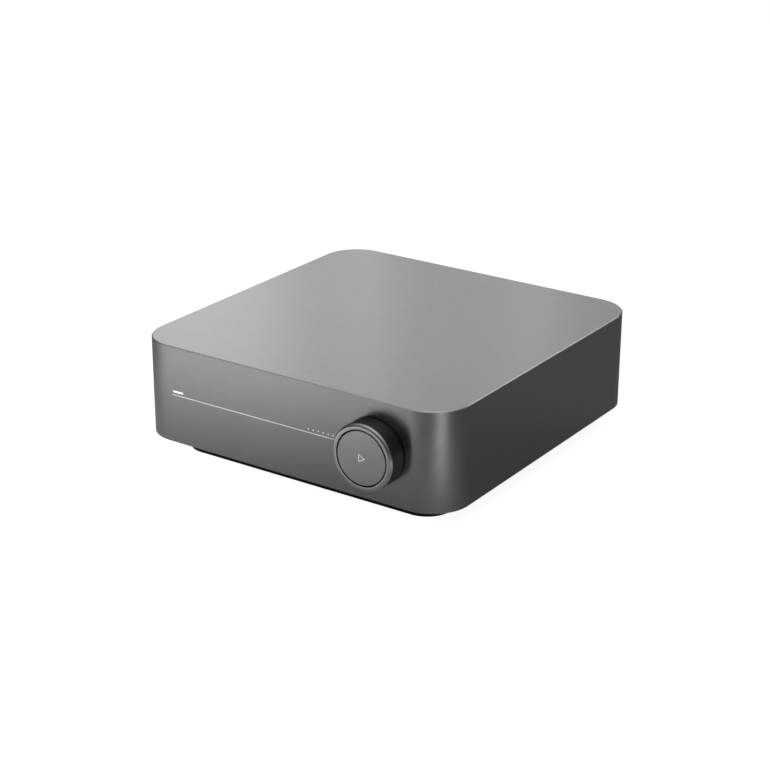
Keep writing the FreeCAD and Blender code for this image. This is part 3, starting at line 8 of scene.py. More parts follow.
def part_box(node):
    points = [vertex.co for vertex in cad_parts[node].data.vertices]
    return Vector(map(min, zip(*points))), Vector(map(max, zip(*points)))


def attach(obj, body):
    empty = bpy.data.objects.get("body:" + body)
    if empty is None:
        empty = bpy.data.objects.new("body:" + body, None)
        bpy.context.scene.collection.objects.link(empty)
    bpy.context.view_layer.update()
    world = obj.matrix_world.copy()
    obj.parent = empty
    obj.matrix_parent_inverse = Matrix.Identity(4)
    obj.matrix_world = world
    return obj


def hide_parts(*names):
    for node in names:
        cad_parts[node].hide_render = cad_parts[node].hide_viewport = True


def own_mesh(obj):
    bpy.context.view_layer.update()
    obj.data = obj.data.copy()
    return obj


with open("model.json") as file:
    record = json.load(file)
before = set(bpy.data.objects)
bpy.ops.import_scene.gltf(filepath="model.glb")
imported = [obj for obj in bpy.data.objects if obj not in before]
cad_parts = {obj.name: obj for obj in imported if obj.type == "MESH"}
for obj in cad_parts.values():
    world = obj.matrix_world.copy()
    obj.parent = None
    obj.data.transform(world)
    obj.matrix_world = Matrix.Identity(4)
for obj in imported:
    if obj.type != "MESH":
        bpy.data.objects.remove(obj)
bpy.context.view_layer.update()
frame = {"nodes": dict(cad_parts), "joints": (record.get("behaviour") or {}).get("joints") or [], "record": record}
nodes = frame["nodes"]
mm = 0.001
hair = 0.01 * mm  # places nearer than this are one place
weldGap = 0.001 * mm
caseWall = 3.0 * mm
creaseAngle = 28  # degrees, on the CAD's own meshes
squareOn = 0.9  # a normal with this much along a direction faces it
runsAlong = 0.99  # an edge with this share of its length on an axis runs along it


# Small helpers for working on one piece at a time

def deselectAll():
    if bpy.context.object and bpy.context.object.mode != "OBJECT":
        bpy.ops.object.mode_set(mode="OBJECT")
    bpy.ops.object.select_all(action="DESELECT")


def makeActive(piece):
    deselectAll()
    piece.select_set(True)
    bpy.context.view_layer.objects.active = piece


def editPiece(piece, kind):
    makeActive(piece)
    bpy.ops.object.mode_set(mode="EDIT")
    bpy.ops.mesh.select_mode(type=kind)
    bpy.ops.mesh.select_all(action="DESELECT")


def leaveEdit():
    bpy.ops.object.mode_set(mode="OBJECT")


def pickFaces(piece, test):  # by middle and normal, and stays in edit mode
    editPiece(piece, "FACE")
    leaveEdit()
    for face in piece.data.polygons:
        face.select = test(face.center, face.normal)
    bpy.ops.object.mode_set(mode="EDIT")


def pickEdges(piece, test):  # by their two ends, and stays in edit mode
    editPiece(piece, "EDGE")
    leaveEdit()
    points = piece.data.vertices
    for edge in piece.data.edges:
        first, second = edge.vertices
        edge.select = test(points[first].co, points[second].co)
    bpy.ops.object.mode_set(mode="EDIT")


def settle(piece):  # puts the piece's place into its mesh
    makeActive(piece)
    bpy.ops.object.transform_apply(location=True, rotation=True, scale=True)


def addBlock(name, low, high):
    deselectAll()
    low, high = Vector(low), Vector(high)
    bpy.ops.mesh.primitive_cube_add(size=1, location=(low + high) / 2, scale=high - low)
    block = bpy.context.object
    block.name = name
    settle(block)
    return block


def addRod(name, axis, middle, radius, length, sides):
    deselectAll()
    turn = {"Y": (math.pi / 2, 0, 0), "Z": (0, 0, 0)}[axis]
    bpy.ops.mesh.primitive_cylinder_add(
        vertices=sides, radius=radius, depth=length, location=middle, rotation=turn)
    rod = bpy.context.object
    rod.name = name
    settle(rod)
    return rod


def roundEdges(piece, axis, radius, steps):  # the four edges of a block along one axis
    number = "XYZ".index(axis)
    pickEdges(piece, lambda a, b: abs(a[number] - b[number]) > runsAlong * (a - b).length)
    bpy.ops.mesh.bevel(offset=radius, offset_type="OFFSET", segments=steps, affect="EDGES")
    leaveEdit()


def cutAway(piece, cutters):
    for cutter in cutters:
        cut = piece.modifiers.new("Cut", "BOOLEAN")
        cut.operation = "DIFFERENCE"
        cut.solver = "EXACT"
        cut.object = cutter
        makeActive(piece)
        bpy.ops.object.modifier_apply(modifier=cut.name)
        bpy.data.objects.remove(cutter)


def joinPieces(piece, others):
    makeActive(piece)
    for other in others:
        other.select_set(True)
    bpy.ops.object.join()


def turnProfile(name, middle, profile, steps):  # pairs of radius and y, spun about a Y line
    deselectAll()
    bpy.ops.mesh.primitive_plane_add(size=mm)
    piece = bpy.context.object
    piece.name = name
    editPiece(piece, "VERT")
    bpy.ops.mesh.select_all(action="SELECT")
    bpy.ops.mesh.merge(type="CENTER")
    here = Vector((0, 0, 0))
    for number, (radius, y) in enumerate(profile + profile[:1]):
        there = Vector((middle.x + radius, y, middle.z))
        if number == 0:
            bpy.ops.transform.translate(value=there - here)
        else:
            bpy.ops.mesh.extrude_region_move(TRANSFORM_OT_translate={"value": there - here})
        here = there
    bpy.ops.mesh.select_all(action="SELECT")
    bpy.ops.mesh.spin(steps=steps, angle=2 * math.pi, center=middle, axis=(0, 1, 0))
    bpy.ops.mesh.select_all(action="SELECT")
    bpy.ops.mesh.remove_doubles(threshold=weldGap)
    bpy.ops.mesh.normals_make_consistent(inside=False)
    leaveEdit()
    return piece


def radiusAt(point, middle):  # how far a point is from the Y line through the middle
    return math.hypot(point.x - middle.x, point.z - middle.z)


def bevelRing(piece, middle, radius, y, size, steps):  # the round edge at that radius and y
    def onRing(point):
        return abs(radiusAt(point, middle) - radius) < hair and abs(point.y - y) < hair

    pickEdges(piece, lambda a, b: onRing(a) and onRing(b))
    bpy.ops.mesh.bevel(offset=size, offset_type="OFFSET", segments=steps, affect="EDGES")
    leaveEdit()


def smoothPiece(piece, angle=35):
    makeActive(piece)
    bpy.ops.object.shade_smooth_by_angle(angle=math.radians(angle))
    weighted = piece.modifiers.new("Weighted", "WEIGHTED_NORMAL")
    weighted.keep_sharp = True
    bpy.ops.object.modifier_apply(modifier=weighted.name)


# Shader maths: a Wire is an output socket, and sums and products of wires add their nodes

class Wire:
    def __init__(self, tree, socket):
        self.tree = tree
        self.socket = socket

    def __add__(self, other):
        return calculate(self.tree, "ADD", self, other)

    def __radd__(self, other):
        return calculate(self.tree, "ADD", other, self)

    def __mul__(self, other):
        return calculate(self.tree, "MULTIPLY", self, other)

    def __rmul__(self, other):
        return calculate(self.tree, "MULTIPLY", other, self)

    def __pow__(self, other):
        return calculate(self.tree, "POWER", self, other)

    def limited(self, low, high):
        return calculate(self.tree, "MINIMUM", calculate(self.tree, "MAXIMUM", self, low), high)


def calculate(tree, operation, *values):
    return addNode(tree, "ShaderNodeMath", {"operation": operation}, dict(enumerate(values)))


def addNode(tree, kind, settings=None, inputs=None, output=0):
    node = tree.nodes.new(kind)
    for name, value in (settings or {}).items():
        setattr(node, name, value)
    for name, value in (inputs or {}).items():
        if isinstance(value, Wire):
            tree.links.new(value.socket, node.inputs[name])
        else:
            node.inputs[name].default_value = value
    return Wire(tree, node.outputs[output])


def blendColours(tree, factor, first, second):
    inputs = {0: factor, 6: first, 7: second}
    return addNode(tree, "ShaderNodeMix", {"data_type": "RGBA"}, inputs, output=2)


def blendPatterns(share, first, second):  # so much of the first, and the rest of the second
    return share * first + (1 - share) * second


def rgb(grey, tint=(1, 1, 1)):
    return tuple(grey * part for part in tint)


class Finish:
    def __init__(self, name, metallic=0.0, roughness=0.5, colour=(0.5, 0.5, 0.5), **others):
        self.material = bpy.data.materials.new(name)
        self.material.use_nodes = True
        self.tree = self.material.node_tree
        self.shader = self.tree.nodes["Principled BSDF"]
        self.set("Metallic", metallic)
        self.set("Roughness", roughness)
        self.set("Base Color", (*colour, 1))
        for socket, value in others.items():
            self.set(socket.replace("_", " "), value)

    def set(self, socket, value):
        if isinstance(value, Wire):
            self.tree.links.new(value.socket, self.shader.inputs[socket])
        else:
            self.shader.inputs[socket].default_value = value

    def node(self, kind, settings=None, inputs=None, output=0):
        return addNode(self.tree, kind, settings, inputs, output)

    def place(self):
        return self.node("ShaderNodeTexCoord", output=3)

    def axes(self, vector):
        split = self.node("ShaderNodeSeparateXYZ", inputs={0: vector})
        outputs = split.socket.node.outputs
        return [Wire(self.tree, outputs[number]) for number in range(3)]

    def noise(self, size, detail=2.0, stretch=(1, 1, 1)):  # size is the grain's width
        scaled = self.node("ShaderNodeMapping", inputs={"Vector": self.place(), "Scale": stretch})
        inputs = {"Vector": scaled, "Scale": 1 / size, "Detail": detail}
        return self.node("ShaderNodeTexNoise", inputs=inputs)

    def shade(self, pattern, colour, darkest, lightest):  # between two shares of the colour
        ends = [(*rgb(share, colour), 1) for share in (darkest, lightest)]
        self.set("Base Color", blendColours(self.tree, pattern, *ends))

    def bump(self, height, depth, strength):
        inputs = {"Height": height, "Distance": depth, "Strength": strength}
        self.set("Normal", self.node("ShaderNodeBump", inputs=inputs))


# Finishes: a pattern adds its swing to the smoothest roughness

def anodisedCase():
    look = {
        "colour": (0.30, 0.305, 0.312), "darkest": 0.965, "lightest": 1.035,
        "rough": 0.27, "smoothest": 0.24, "grainSwing": 0.04, "cloudSwing": 0.02,
        "grain": 0.16 * mm, "grainDepth": 0.004 * mm, "cloud": 22 * mm, "grainShare": 0.6,
    }
    finish = Finish("CaseAluminium", metallic=1.0, roughness=look["rough"])
    grain = finish.noise(look["grain"], detail=3.0)
    cloud = finish.noise(look["cloud"], detail=1.0)
    mottle = blendPatterns(look["grainShare"], grain, cloud)
    finish.shade(mottle, look["colour"], look["darkest"], look["lightest"])
    rough = look["smoothest"] + look["grainSwing"] * grain
    finish.set("Roughness", rough + look["cloudSwing"] * cloud)
    finish.bump(grain, look["grainDepth"], strength=0.6)
    return finish


def turnedFinish(name, colour, rough, lineWidth, depth):
    # Fine rings about the knob's axis, as a lathe leaves them
    look = {
        "darkest": 0.9, "lightest": 1.1, "smoother": 0.04, "ringSwing": 0.05, "grainSwing": 0.03,
        "grain": 0.12 * mm, "ringShare": 0.8,
    }
    finish = Finish(name, metallic=1.0, roughness=rough)
    toAxis = {"Vector": finish.place(), "Location": (-knobAxis.x, 0, -knobAxis.z)}
    x, y, z = finish.axes(finish.node("ShaderNodeMapping", inputs=toAxis))
    radius = calculate(finish.tree, "SQRT", x * x + z * z)
    along = finish.node("ShaderNodeCombineXYZ", inputs={0: radius, 1: y, 2: 0.0})
    inputs = {"Vector": along, "Scale": 1 / lineWidth, "Detail": 2.0}
    rings = finish.node("ShaderNodeTexNoise", inputs=inputs)
    grain = finish.noise(look["grain"])
    finish.shade(rings, colour, look["darkest"], look["lightest"])
    turned = rough - look["smoother"] + look["ringSwing"] * rings
    finish.set("Roughness", turned + look["grainSwing"] * grain)
    finish.bump(blendPatterns(look["ringShare"], rings, grain), depth, strength=0.7)
    return finish


def moulded(name, colour, rough, grain, depth, coat=0.0, glow=0.0):
    look = {
        "darkest": 0.88, "lightest": 1.12, "smoother": 0.05, "swing": 0.1,
        "grainShare": 0.5, "patch": 40,  # a patch is so many grains wide
    }
    finish = Finish(name, roughness=rough, colour=colour, Coat_Weight=coat, Emission_Strength=glow)
    fine = finish.noise(grain, detail=3.0)
    patches = finish.noise(grain * look["patch"], detail=1.0)
    mottle = blendPatterns(look["grainShare"], fine, patches)
    finish.shade(mottle, colour, look["darkest"], look["lightest"])
    finish.set("Roughness", rough - look["smoother"] + look["swing"] * fine)
    finish.bump(fine, depth, strength=0.6)
    return finish


def metal(name, colour, rough, grain, stretch=(1, 1, 1)):
    # Its lines run along the axis whose stretch is a small number
    look = {
        "darkest": 0.9, "lightest": 1.08, "smoother": 0.06, "swing": 0.12, "depth": 0.003 * mm,
    }
    finish = Finish(name, metallic=1.0, roughness=rough)
    lines = finish.noise(grain, detail=3.0, stretch=stretch)
    finish.shade(lines, colour, look["darkest"], look["lightest"])
    finish.set("Roughness", rough - look["smoother"] + look["swing"] * lines)
    finish.bump(lines, look["depth"], strength=0.5)
    return finish


def board(name, colour, copper):
    # Solder mask with the tracks showing faintly through it
    look = {
        "rough": 0.35, "smoothest": 0.3, "swing": 0.15, "coat": 0.3,
        "cell": 5 * mm, "grain": 0.6 * mm, "trackDepth": 0.02 * mm, "grainHeight": 0.1,
    }
    finish = Finish(name, roughness=look["rough"], colour=colour, Coat_Weight=look["coat"])
    inputs = {
        "Vector": finish.place(), "Scale": 1 / look["cell"],
        "Color1": (0, 0, 0, 1), "Color2": (1, 1, 1, 1), "Mortar": (0.6, 0.6, 0.6, 1),
        "Mortar Size": 0.03, "Brick Width": 1.7, "Row Height": 0.5,
    }
    tracks = finish.node("ShaderNodeTexBrick", inputs=inputs, output=1)
    grain = finish.noise(look["grain"])
    finish.set("Base Color", blendColours(finish.tree, tracks, (*colour, 1), (*copper, 1)))
    finish.set("Roughness", look["smoothest"] + look["swing"] * grain)
    finish.bump(tracks + grain * look["grainHeight"], look["trackDepth"], strength=0.5)
    return finish


def lightGuide():
    # Clear acrylic with a milky, lit end
    look = {
        "colour": (0.9, 0.9, 0.88), "rough": 0.3, "smoothest": 0.25, "swing": 0.1,
        "glow": 0.9, "milk": 0.4 * mm, "dim": (0.86, 0.87, 0.88, 1), "lit": (1.0, 1.0, 1.0, 1),
    }
    finish = Finish("LightGuide", roughness=look["rough"], colour=look["colour"],
                    Emission_Strength=look["glow"])
    milk = finish.noise(look["milk"])
    finish.set("Emission Color", blendColours(finish.tree, milk, look["dim"], look["lit"]))
    finish.set("Roughness", look["smoothest"] + look["swing"] * milk)
    return finish


def polishedEdgeHighlight():
    # The case's top chamfer takes a lighter copy of the case metal: a polished edge, and partly a painted
    # highlight along it
    look = {
        "rough": 0.3, "smoothest": 0.27, "swing": 0.06, "grain": 0.4 * mm,
        "grainDepth": 0.001 * mm, "dark": (0.50, 0.505, 0.51, 1), "light": (0.58, 0.585, 0.59, 1),
    }
    finish = Finish("CaseEdgeHighlight", metallic=1.0, roughness=look["rough"])
    lines = finish.noise(look["grain"])
    finish.set("Base Color", blendColours(finish.tree, lines, look["dark"], look["light"]))
    finish.set("Roughness", look["smoothest"] + look["swing"] * lines)
    finish.bump(lines, look["grainDepth"], strength=0.4)
    return finish


knobLow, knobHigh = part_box("volume_knob")
knobAxis = (knobLow + knobHigh) / 2

finishes = {  # most with a colour, a roughness and the width of their grain
    "case_aluminium": anodisedCase(),
    # case_edge is a lighter copy of the case metal on the top chamfer, partly a painted highlight
    "case_edge": polishedEdgeHighlight(),
    # knob_dark and knob_edge are darker and lighter copies of one turned finish: the sides' darkness is partly
    # their own darker anodising and partly painted shade, the front ring's lightness a painted highlight
    "knob_dark": turnedFinish("KnobDark", (0.125, 0.128, 0.133), 0.40, 0.10 * mm, 0.002 * mm),
    "knob_edge": turnedFinish("KnobEdgeHighlight", (0.42, 0.425, 0.43), 0.2, 0.2 * mm, 0.0005 * mm),
    "button_grey": turnedFinish("ButtonGrey", (0.38, 0.384, 0.39), 0.32, 0.16 * mm, 0.002 * mm),
    # the bright strip is the front line's own metal, and on the knob's lip a painted highlight
    "bright_strip": metal("BrightStripAndLipHighlight", (0.92, 0.92, 0.91), 0.3, 0.2 * mm, (0.05, 1, 1)),
    "black_moulding": moulded("BlackMoulding", (0.025, 0.025, 0.027), 0.55, 0.25 * mm, 0.02 * mm),
    "black_gloss": moulded("BlackGloss", (0.02, 0.02, 0.022), 0.22, 0.5 * mm, 0.002 * mm, 0.3),
    "red_moulding": moulded("RedMoulding", (0.55, 0.02, 0.02), 0.25, 0.5 * mm, 0.002 * mm, 0.3),
    "white_moulding": moulded("WhiteMoulding", (0.80, 0.80, 0.78), 0.4, 0.3 * mm, 0.01 * mm),
    "rubber": moulded("Rubber", (0.02, 0.02, 0.02), 0.8, 0.3 * mm, 0.03 * mm),
    "light_guide": lightGuide(),
    # the play mark's faint glow is painted light; no lamp is behind it
    "mark_white": moulded("MarkWhitePaintedGlow", (0.85, 0.86, 0.87), 0.4, 0.2 * mm, 0.002 * mm, glow=0.35),
    "zinc_steel": metal("ZincSteel", (0.62, 0.62, 0.60), 0.35, 0.6 * mm),
    "black_steel": metal("BlackSteel", (0.05, 0.05, 0.052), 0.38, 0.4 * mm),
    "spring_steel": metal("SpringSteel", (0.45, 0.45, 0.46), 0.3, 0.3 * mm, (0.1, 1, 1)),
    "gold_plate": metal("GoldPlate", (0.83, 0.62, 0.24), 0.2, 0.5 * mm),
    "brass": metal("Brass", (0.72, 0.53, 0.24), 0.3, 0.3 * mm, (1, 0.1, 1)),
    "acetal": moulded("Acetal", (0.78, 0.77, 0.72), 0.45, 0.4 * mm, 0.004 * mm),
    "magnet": moulded("Magnet", (0.12, 0.12, 0.12), 0.5, 0.2 * mm, 0.01 * mm),
    "board_green": board("BoardGreen", (0.03, 0.14, 0.07), (0.05, 0.20, 0.10)),
    "board_black": board("BoardBlack", (0.02, 0.025, 0.025), (0.03, 0.038, 0.036)),
    "chip_black": moulded("ChipBlack", (0.03, 0.03, 0.03), 0.5, 0.15 * mm, 0.008 * mm),
    "ferrite": moulded("Ferrite", (0.09, 0.09, 0.09), 0.6, 0.3 * mm, 0.02 * mm),
    "winding": moulded("Winding", (0.65, 0.45, 0.10), 0.45, 0.8 * mm, 0.05 * mm),
    "capacitor_sleeve": moulded(
        "CapacitorSleeve", (0.04, 0.05, 0.10), 0.28, 1.0 * mm, 0.01 * mm, 0.3),
    "heat_sink_aluminium": metal(
        "HeatSinkAluminium", (0.55, 0.56, 0.57), 0.35, 0.3 * mm, (1, 0.05, 1)),
    "glass_fuse": Finish(
        "GlassFuse", roughness=0.03, colour=(0.85, 0.88, 0.88), Transmission_Weight=0.9),
    "cable_white": moulded("CableWhite", (0.82, 0.82, 0.80), 0.4, 0.5 * mm, 0.01 * mm),
}
slotOf = {part["node"]: part["material_slot"] for part in frame["record"]["subparts"]}


def dress(piece, slot):
    piece.data.materials.clear()
    piece.data.materials.append(finishes[slot].material)


def dressFaces(piece, slot, test):  # a further finish on some of the faces
    makeActive(piece)
    piece.data.materials.append(finishes[slot].material)
    pickFaces(piece, test)
    piece.active_material_index = len(piece.data.materials) - 1
    bpy.ops.object.material_slot_assign()
    leaveEdit()


def standFor(piece, node, body):  # the piece takes the node's place and rides on its body
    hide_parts(node)
    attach(piece, body)


for name, node in nodes.items():
    dress(node, slotOf[name])
    node.modifiers.new("Weld", "WELD").merge_threshold = weldGap
    split = node.modifiers.new("Split", "EDGE_SPLIT")
    split.split_angle = math.radians(creaseAngle)
    node.data.shade_smooth()
print("finishes on", len(nodes), "nodes")

springFront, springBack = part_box("button_spring")  # the spring's ends; the button presses it towards its back end, and keptShare is the share of its length left then
pressed = next(joint["range_m"][1] for joint in frame["joints"] if joint["name"] == "play_press")
keptShare = 1 - pressed / (springBack.y - springFront.y)
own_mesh(nodes["button_spring"])


# Casing

def makeEnclosure():
    look = {
        "corner": 20.67 * mm, "cornerSteps": 36, "edge": 0.45 * mm, "edgeSlant": (0.3, 0.95),
        "opening": ((-71.5 * mm, 16.5 * mm), (71.5 * mm, 56.5 * mm)), "openingCorner": 3.0 * mm,
        "smallSteps": 8, "bore": 7.6 * mm, "boreSides": 64, "skin": 0.8 * mm, "groove": 0.6 * mm,
        "pill": ((-70.6 * mm, 38.09 * mm), (-64.0 * mm, 38.89 * mm)), "pillCorner": 0.38 * mm,
        "pockets": ((-72.5 * mm, -62.1 * mm), (13.5 * mm, 32.2 * mm)), "pocketHalf": 2.3 * mm,
        "dots": 6, "dotStart": -39.2 * mm, "dotPitch": 2.98 * mm, "dotRadius": 0.28 * mm,
        "dotDepth": 2 * mm, "dotSides": 24, "over": 0.5 * mm,  # how far a cutter goes past
    }
    low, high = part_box("enclosure")
    case = addBlock("enclosure_shell", low, high)
    roundEdges(case, "Z", look["corner"], look["cornerSteps"])
    pickEdges(case, lambda a, b: min(a.z, b.z) > high.z - hair)
    bpy.ops.mesh.bevel(offset=look["edge"], offset_type="OFFSET", segments=1, affect="EDGES")
    leaveEdit()
    dress(case, "case_aluminium")
    steepest, flattest = look["edgeSlant"]
    # the top chamfer takes the lighter edge metal, partly a painted highlight
    dressFaces(case, "case_edge", lambda middle, normal: steepest < normal.z < flattest)
    pickFaces(case, lambda middle, normal: normal.z < -squareOn)
    bpy.ops.mesh.delete(type="FACE")
    leaveEdit()
    wall = case.modifiers.new("Wall", "SOLIDIFY")
    wall.thickness = caseWall
    wall.offset = -1
    wall.use_even_offset = True
    makeActive(case)
    bpy.ops.object.modifier_apply(modifier=wall.name)

    over, smallSteps = look["over"], look["smallSteps"]
    front, frontInner = low.y, low.y + caseWall
    (left, bottom), (right, top) = look["opening"]
    innerCorner = (left, high.y - caseWall - over, bottom)
    opening = addBlock("cutter", innerCorner, (right, high.y + over, top))
    roundEdges(opening, "Y", look["openingCorner"], smallSteps)
    line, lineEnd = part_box("front_line")
    grooveEnd = (lineEnd.x, front + look["groove"], lineEnd.z)
    groove = addBlock("cutter", (line.x, front - over, line.z), grooveEnd)
    (left, bottom), (right, top) = look["pill"]
    level = (bottom + top) / 2
    pill = addBlock("cutter", (left, front - over, bottom), (right, frontInner - over, top))
    roundEdges(pill, "Y", look["pillCorner"], smallSteps)
    middle = (knobAxis.x, front, knobAxis.z)
    bore = addRod("cutter", "Y", middle, look["bore"], 4 * caseWall, look["boreSides"])
    cutters = [opening, groove, pill, bore]
    for left, right in look["pockets"]:
        nearCorner = (left, front + look["skin"], level - look["pocketHalf"])
        farCorner = (right, frontInner + over, level + look["pocketHalf"])
        cutters.append(addBlock("cutter", nearCorner, farCorner))
    for number in range(look["dots"]):
        middle = (knobAxis.x + look["dotStart"] + number * look["dotPitch"], front, level)
        dot = addRod("cutter", "Y", middle, look["dotRadius"], look["dotDepth"], look["dotSides"])
        cutters.append(dot)
    cutAway(case, cutters)
    smoothPiece(case)
    standFor(case, "enclosure", "case")


def makePosts():  # inside the case, for the base screws and the front board's screws
    look = {
        "cornerSpot": 82.0 * mm, "cornerRadius": 4.2 * mm, "frontSpot": (70.0 * mm, 10.0 * mm),
        "frontRadius": 2.8 * mm, "frontBack": -83.8 * mm, "hole": 1.25 * mm, "sink": 6.0 * mm,
        "sides": 32,
    }
    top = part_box("enclosure")[1].z - caseWall
    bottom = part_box("base_cover")[1].z
    boardMiddle = sum(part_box("front_board"), Vector()) / 2
    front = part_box("enclosure")[0].y + caseWall
    cornerLength, frontLength = top - bottom, look["frontBack"] - front
    posts = []
    for sideX in (-1, 1):
        for side in (-1, 1):
            spot = (sideX * look["cornerSpot"], side * look["cornerSpot"], (top + bottom) / 2)
            size = (look["cornerRadius"], cornerLength, look["sides"])
            post = addRod("case_posts", "Z", spot, *size)
            tapPost(post, (0, 0, -1), look["cornerRadius"], look)
            posts.append(post)
            level = boardMiddle.z + side * look["frontSpot"][1]
            spot = (sideX * look["frontSpot"][0], (front + look["frontBack"]) / 2, level)
            size = (look["frontRadius"], frontLength, look["sides"])
            post = addRod("case_posts", "Y", spot, *size)
            tapPost(post, (0, 1, 0), look["frontRadius"], look)
            posts.append(post)
    joinPieces(posts[0], posts[1:])
    smoothPiece(posts[0])
    dress(posts[0], "case_aluminium")
    standFor(posts[0], "enclosure", "case")


def tapPost(post, facing, radius, look):  # a screw hole in the end that faces that way
    facing = Vector(facing)
    pickFaces(post, lambda middle, normal: normal.dot(facing) > squareOn)
    bpy.ops.mesh.inset(thickness=radius - look["hole"])
    bpy.ops.mesh.extrude_region_move(TRANSFORM_OT_translate={"value": facing * -look["sink"]})
    leaveEdit()


# Volume knob

def makeVolumeKnob():
    look = {
        "radius": 17.34 * mm, "round": 1.64 * mm, "roundSteps": 12, "bore": 14.6 * mm,
        "lip": 0.25 * mm, "backEdge": 0.15 * mm, "smallSteps": 2, "steps": 160, "crease": 30,
        "web": 2.0 * mm, "hubOuter": 11.6 * mm, "hubInner": 10.2 * mm, "magnetGap": 0.4 * mm,
        "slant": (-0.95, -0.1),  # of normals along y, from nearly forwards to nearly sideways
    }
    radius, bore = look["radius"], look["bore"]
    front, back = knobLow.y, knobHigh.y
    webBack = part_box("encoder_magnet")[0].y - look["magnetGap"]
    webFront = webBack - look["web"]
    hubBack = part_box("encoder_magnet")[1].y
    profile = [
        (bore, front), (radius, front), (radius, back), (bore, back), (bore, webBack),
        (look["hubOuter"], webBack), (look["hubOuter"], hubBack),
        (look["hubInner"], hubBack), (look["hubInner"], webFront), (bore, webFront),
    ]
    knob = turnProfile("volume_ring", knobAxis, profile, look["steps"])
    bevelRing(knob, knobAxis, radius, front, look["round"], look["roundSteps"])
    bevelRing(knob, knobAxis, bore, front, look["lip"], look["smallSteps"])
    bevelRing(knob, knobAxis, radius, back, look["backEdge"], look["smallSteps"])
    forwards, sideways = look["slant"]

    def onFront(middle, normal):
        return normal.y < sideways and middle.y < front + look["round"]

    def onLip(middle, normal):
        atLip = radiusAt(middle, knobAxis) < bore + look["lip"]
        return atLip and forwards < normal.y < sideways

    # The sides take the darker copy, partly painted shade; the front ring and rounding take the lighter copy, a
    # painted highlight
    dress(knob, "knob_dark")
    dressFaces(knob, "knob_edge", onFront)
    # the lip takes the bright strip metal, a painted highlight along the bore's edge
    dressFaces(knob, "bright_strip", onLip)
    smoothPiece(knob, look["crease"])
    standFor(knob, "volume_knob", "volume_knob")


makeEnclosure()
makePosts()
makeVolumeKnob()
print("case and knob")


# Floor, light and camera

def seenDirectly(tree):  # 1 for the camera, also through glass, and 0 in a mirror
    outputs = tree.nodes.new("ShaderNodeLightPath").outputs
    direct = Wire(tree, outputs["Is Camera Ray"])
    return (direct + Wire(tree, outputs["Is Transmission Ray"])).limited(0, 1)


def makeFloor():  # its lift grows to white away from the object, and the shadow stays
    floorLook = {"size": 12.0, "grey": 0.8, "near": 0.91, "far": 1.0, "reach": 0.9}
    deselectAll()
    bpy.ops.mesh.primitive_plane_add(size=floorLook["size"])
    floor = bpy.context.object
    floor.name = "floor"
    material = bpy.data.materials.new("PaleFloor")
    material.use_nodes = True
    tree = material.node_tree
    tree.nodes.clear()
    grey, near, far = [(*rgb(floorLook[name]), 1) for name in ("grey", "near", "far")]
    matt = addNode(tree, "ShaderNodeBsdfDiffuse", inputs={"Color": grey})
    place = addNode(tree, "ShaderNodeTexCoord", output=3)
    distance = addNode(tree, "ShaderNodeVectorMath", {"operation": "LENGTH"}, {0: place}, output=1)
    away = (distance * (1 / floorLook["reach"])).limited(0, 1)
    inputs = {"Color": blendColours(tree, away, near, far), "Strength": seenDirectly(tree)}
    lift = addNode(tree, "ShaderNodeEmission", inputs=inputs)
    both = addNode(tree, "ShaderNodeAddShader", inputs={0: matt, 1: lift})
    output = tree.nodes.new("ShaderNodeOutputMaterial")
    tree.links.new(both.socket, output.inputs["Surface"])
    floor.data.materials.append(material)


def makeWorld():  # white to the camera, and in a mirror a dim sky that brightens overhead
    worldLook = {"sky": 0.008, "mirrored": 0.1, "overhead": 0.88, "rise": 3.0}
    world = bpy.data.worlds.new("Studio")
    bpy.context.scene.world = world
    world.use_nodes = True
    tree = world.node_tree
    tree.nodes.clear()
    glossy = Wire(tree, tree.nodes.new("ShaderNodeLightPath").outputs["Is Glossy Ray"])
    direction = addNode(tree, "ShaderNodeTexCoord")
    up = addNode(tree, "ShaderNodeSeparateXYZ", inputs={0: direction}, output=2).limited(0, 1)
    mirrored = worldLook["mirrored"] + up ** worldLook["rise"] * worldLook["overhead"]
    strength = worldLook["sky"] + seenDirectly(tree) + glossy * mirrored
    inputs = {"Color": (1, 1, 1, 1), "Strength": strength}
    sky = addNode(tree, "ShaderNodeBackground", inputs=inputs)
    output = tree.nodes.new("ShaderNodeOutputWorld")
    tree.links.new(sky.socket, output.inputs["Surface"])


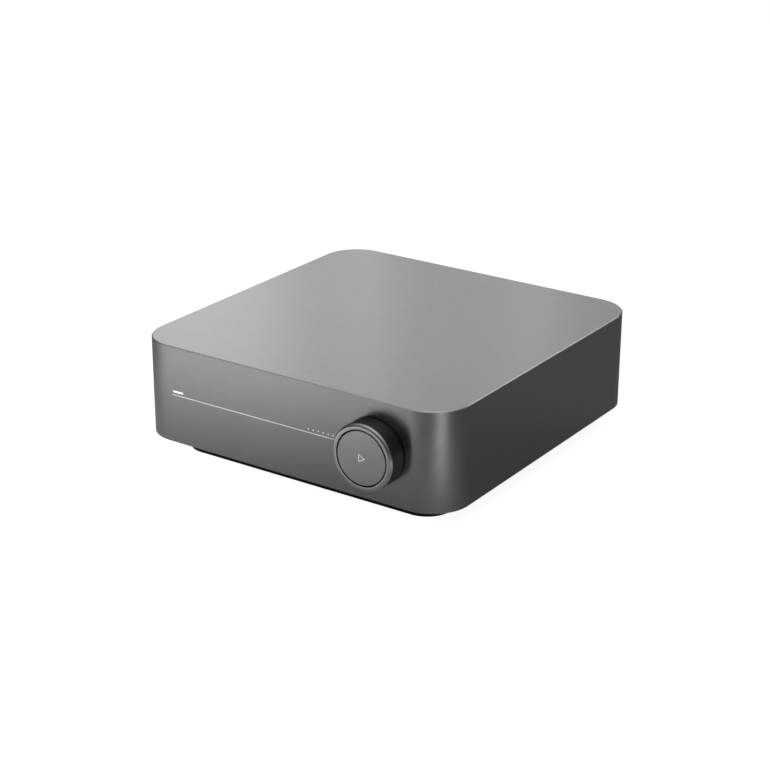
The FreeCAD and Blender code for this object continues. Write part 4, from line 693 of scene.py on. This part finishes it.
lamps = {  # the first five light the floor that the sides mirror, the top mirrors the others
    "floor_pool": {
        "place": (-0.12, -0.30, 0.16), "size": (0.2, 0.2), "glow": 4.15, "mirrored": False},
    "floor_pool_left": {
        "place": (-0.24, -0.30, 0.15), "size": (0.2, 0.2), "glow": 1.9, "mirrored": False},
    "floor_strip": {
        "place": (0.245, -0.196, 0.045), "size": (0.16, 0.03), "turn": -34, "glow": 4.0},
    "floor_strip_near": {
        "place": (0.178, -0.151, 0.045), "size": (0.10, 0.02), "turn": -34, "glow": 3.0},
    "floor_right": {
        "place": (0.25, 0.12, 0.30), "size": (0.3, 0.3), "glow": 0.57, "mirrored": False},
    "back_right_panel": {"bearing": 107, "height": 22, "size": (0.27, 0.45), "glow": 0.62},
    "back_panel": {"bearing": 120, "height": 22, "size": (0.20, 0.45), "glow": 0.74},
    "back_left_panel": {"bearing": 128, "height": 20, "size": (0.10, 0.4), "glow": 0.85},
    "left_panel": {"bearing": 134, "height": 20, "size": (0.10, 0.4), "glow": 1.35},
    "left_panel_end": {"bearing": 140, "height": 20, "size": (0.10, 0.4), "glow": 1.4},
    "left_strip": {"bearing": 150, "height": 7, "size": (0.12, 0.2), "glow": 10.0},
    "edge_panel": {"bearing": 64, "height": 31, "size": (0.2, 0.2), "glow": 2.5},
}
panelStand = {"aim": Vector((0, 0, 0.05)), "away": 1.0}


def makeLamp(name, look):  # one with a place looks down, the others look at the object
    data = bpy.data.lights.new(name, "AREA")
    data.shape = "RECTANGLE"
    data.size, data.size_y = look["size"]
    data.energy = look["glow"] * math.pi * data.size * data.size_y  # glow is how bright it looks
    lamp = bpy.data.objects.new(name, data)
    bpy.context.scene.collection.objects.link(lamp)
    lamp.visible_camera = False
    lamp.visible_glossy = look.get("mirrored", True)
    if "place" in look:
        lamp.location = look["place"]
        lamp.rotation_euler.z = math.radians(look.get("turn", 0))
        return
    bearing = math.radians(look["bearing"])  # from +X towards +Y, and height above the floor
    height = math.radians(look["height"])
    level = math.cos(height)
    outward = Vector((math.cos(bearing) * level, math.sin(bearing) * level, math.sin(height)))
    lamp.location = panelStand["aim"] + outward * panelStand["away"]
    lamp.rotation_euler = outward.to_track_quat("Z", "Y").to_euler()


def makeCamera():
    cameraLook = {
        "place": Vector((0.52693, -0.78233, 0.40537)),
        "azimuth": 34.157, "elevation": 21.872, "roll": 0.244,
        "lens": 89.01, "sensor": 36.0,
    }
    data = bpy.data.cameras.new("camera")
    data.lens = cameraLook["lens"]
    data.sensor_width = cameraLook["sensor"]
    camera = bpy.data.objects.new("camera", data)
    bpy.context.scene.collection.objects.link(camera)
    turn = Matrix.Rotation(math.radians(cameraLook["azimuth"]), 4, "Z")
    tilt = Matrix.Rotation(math.radians(90 - cameraLook["elevation"]), 4, "X")
    roll = Matrix.Rotation(math.radians(cameraLook["roll"]), 4, "Z")
    camera.matrix_world = Matrix.Translation(cameraLook["place"]) @ turn @ tilt @ roll
    bpy.context.scene.camera = camera


makeFloor()
makeWorld()
for lampName, lampLook in lamps.items():
    makeLamp(lampName, lampLook)
makeCamera()
bpy.context.scene.view_settings.view_transform = "Standard"
print("floor, lamps and camera")
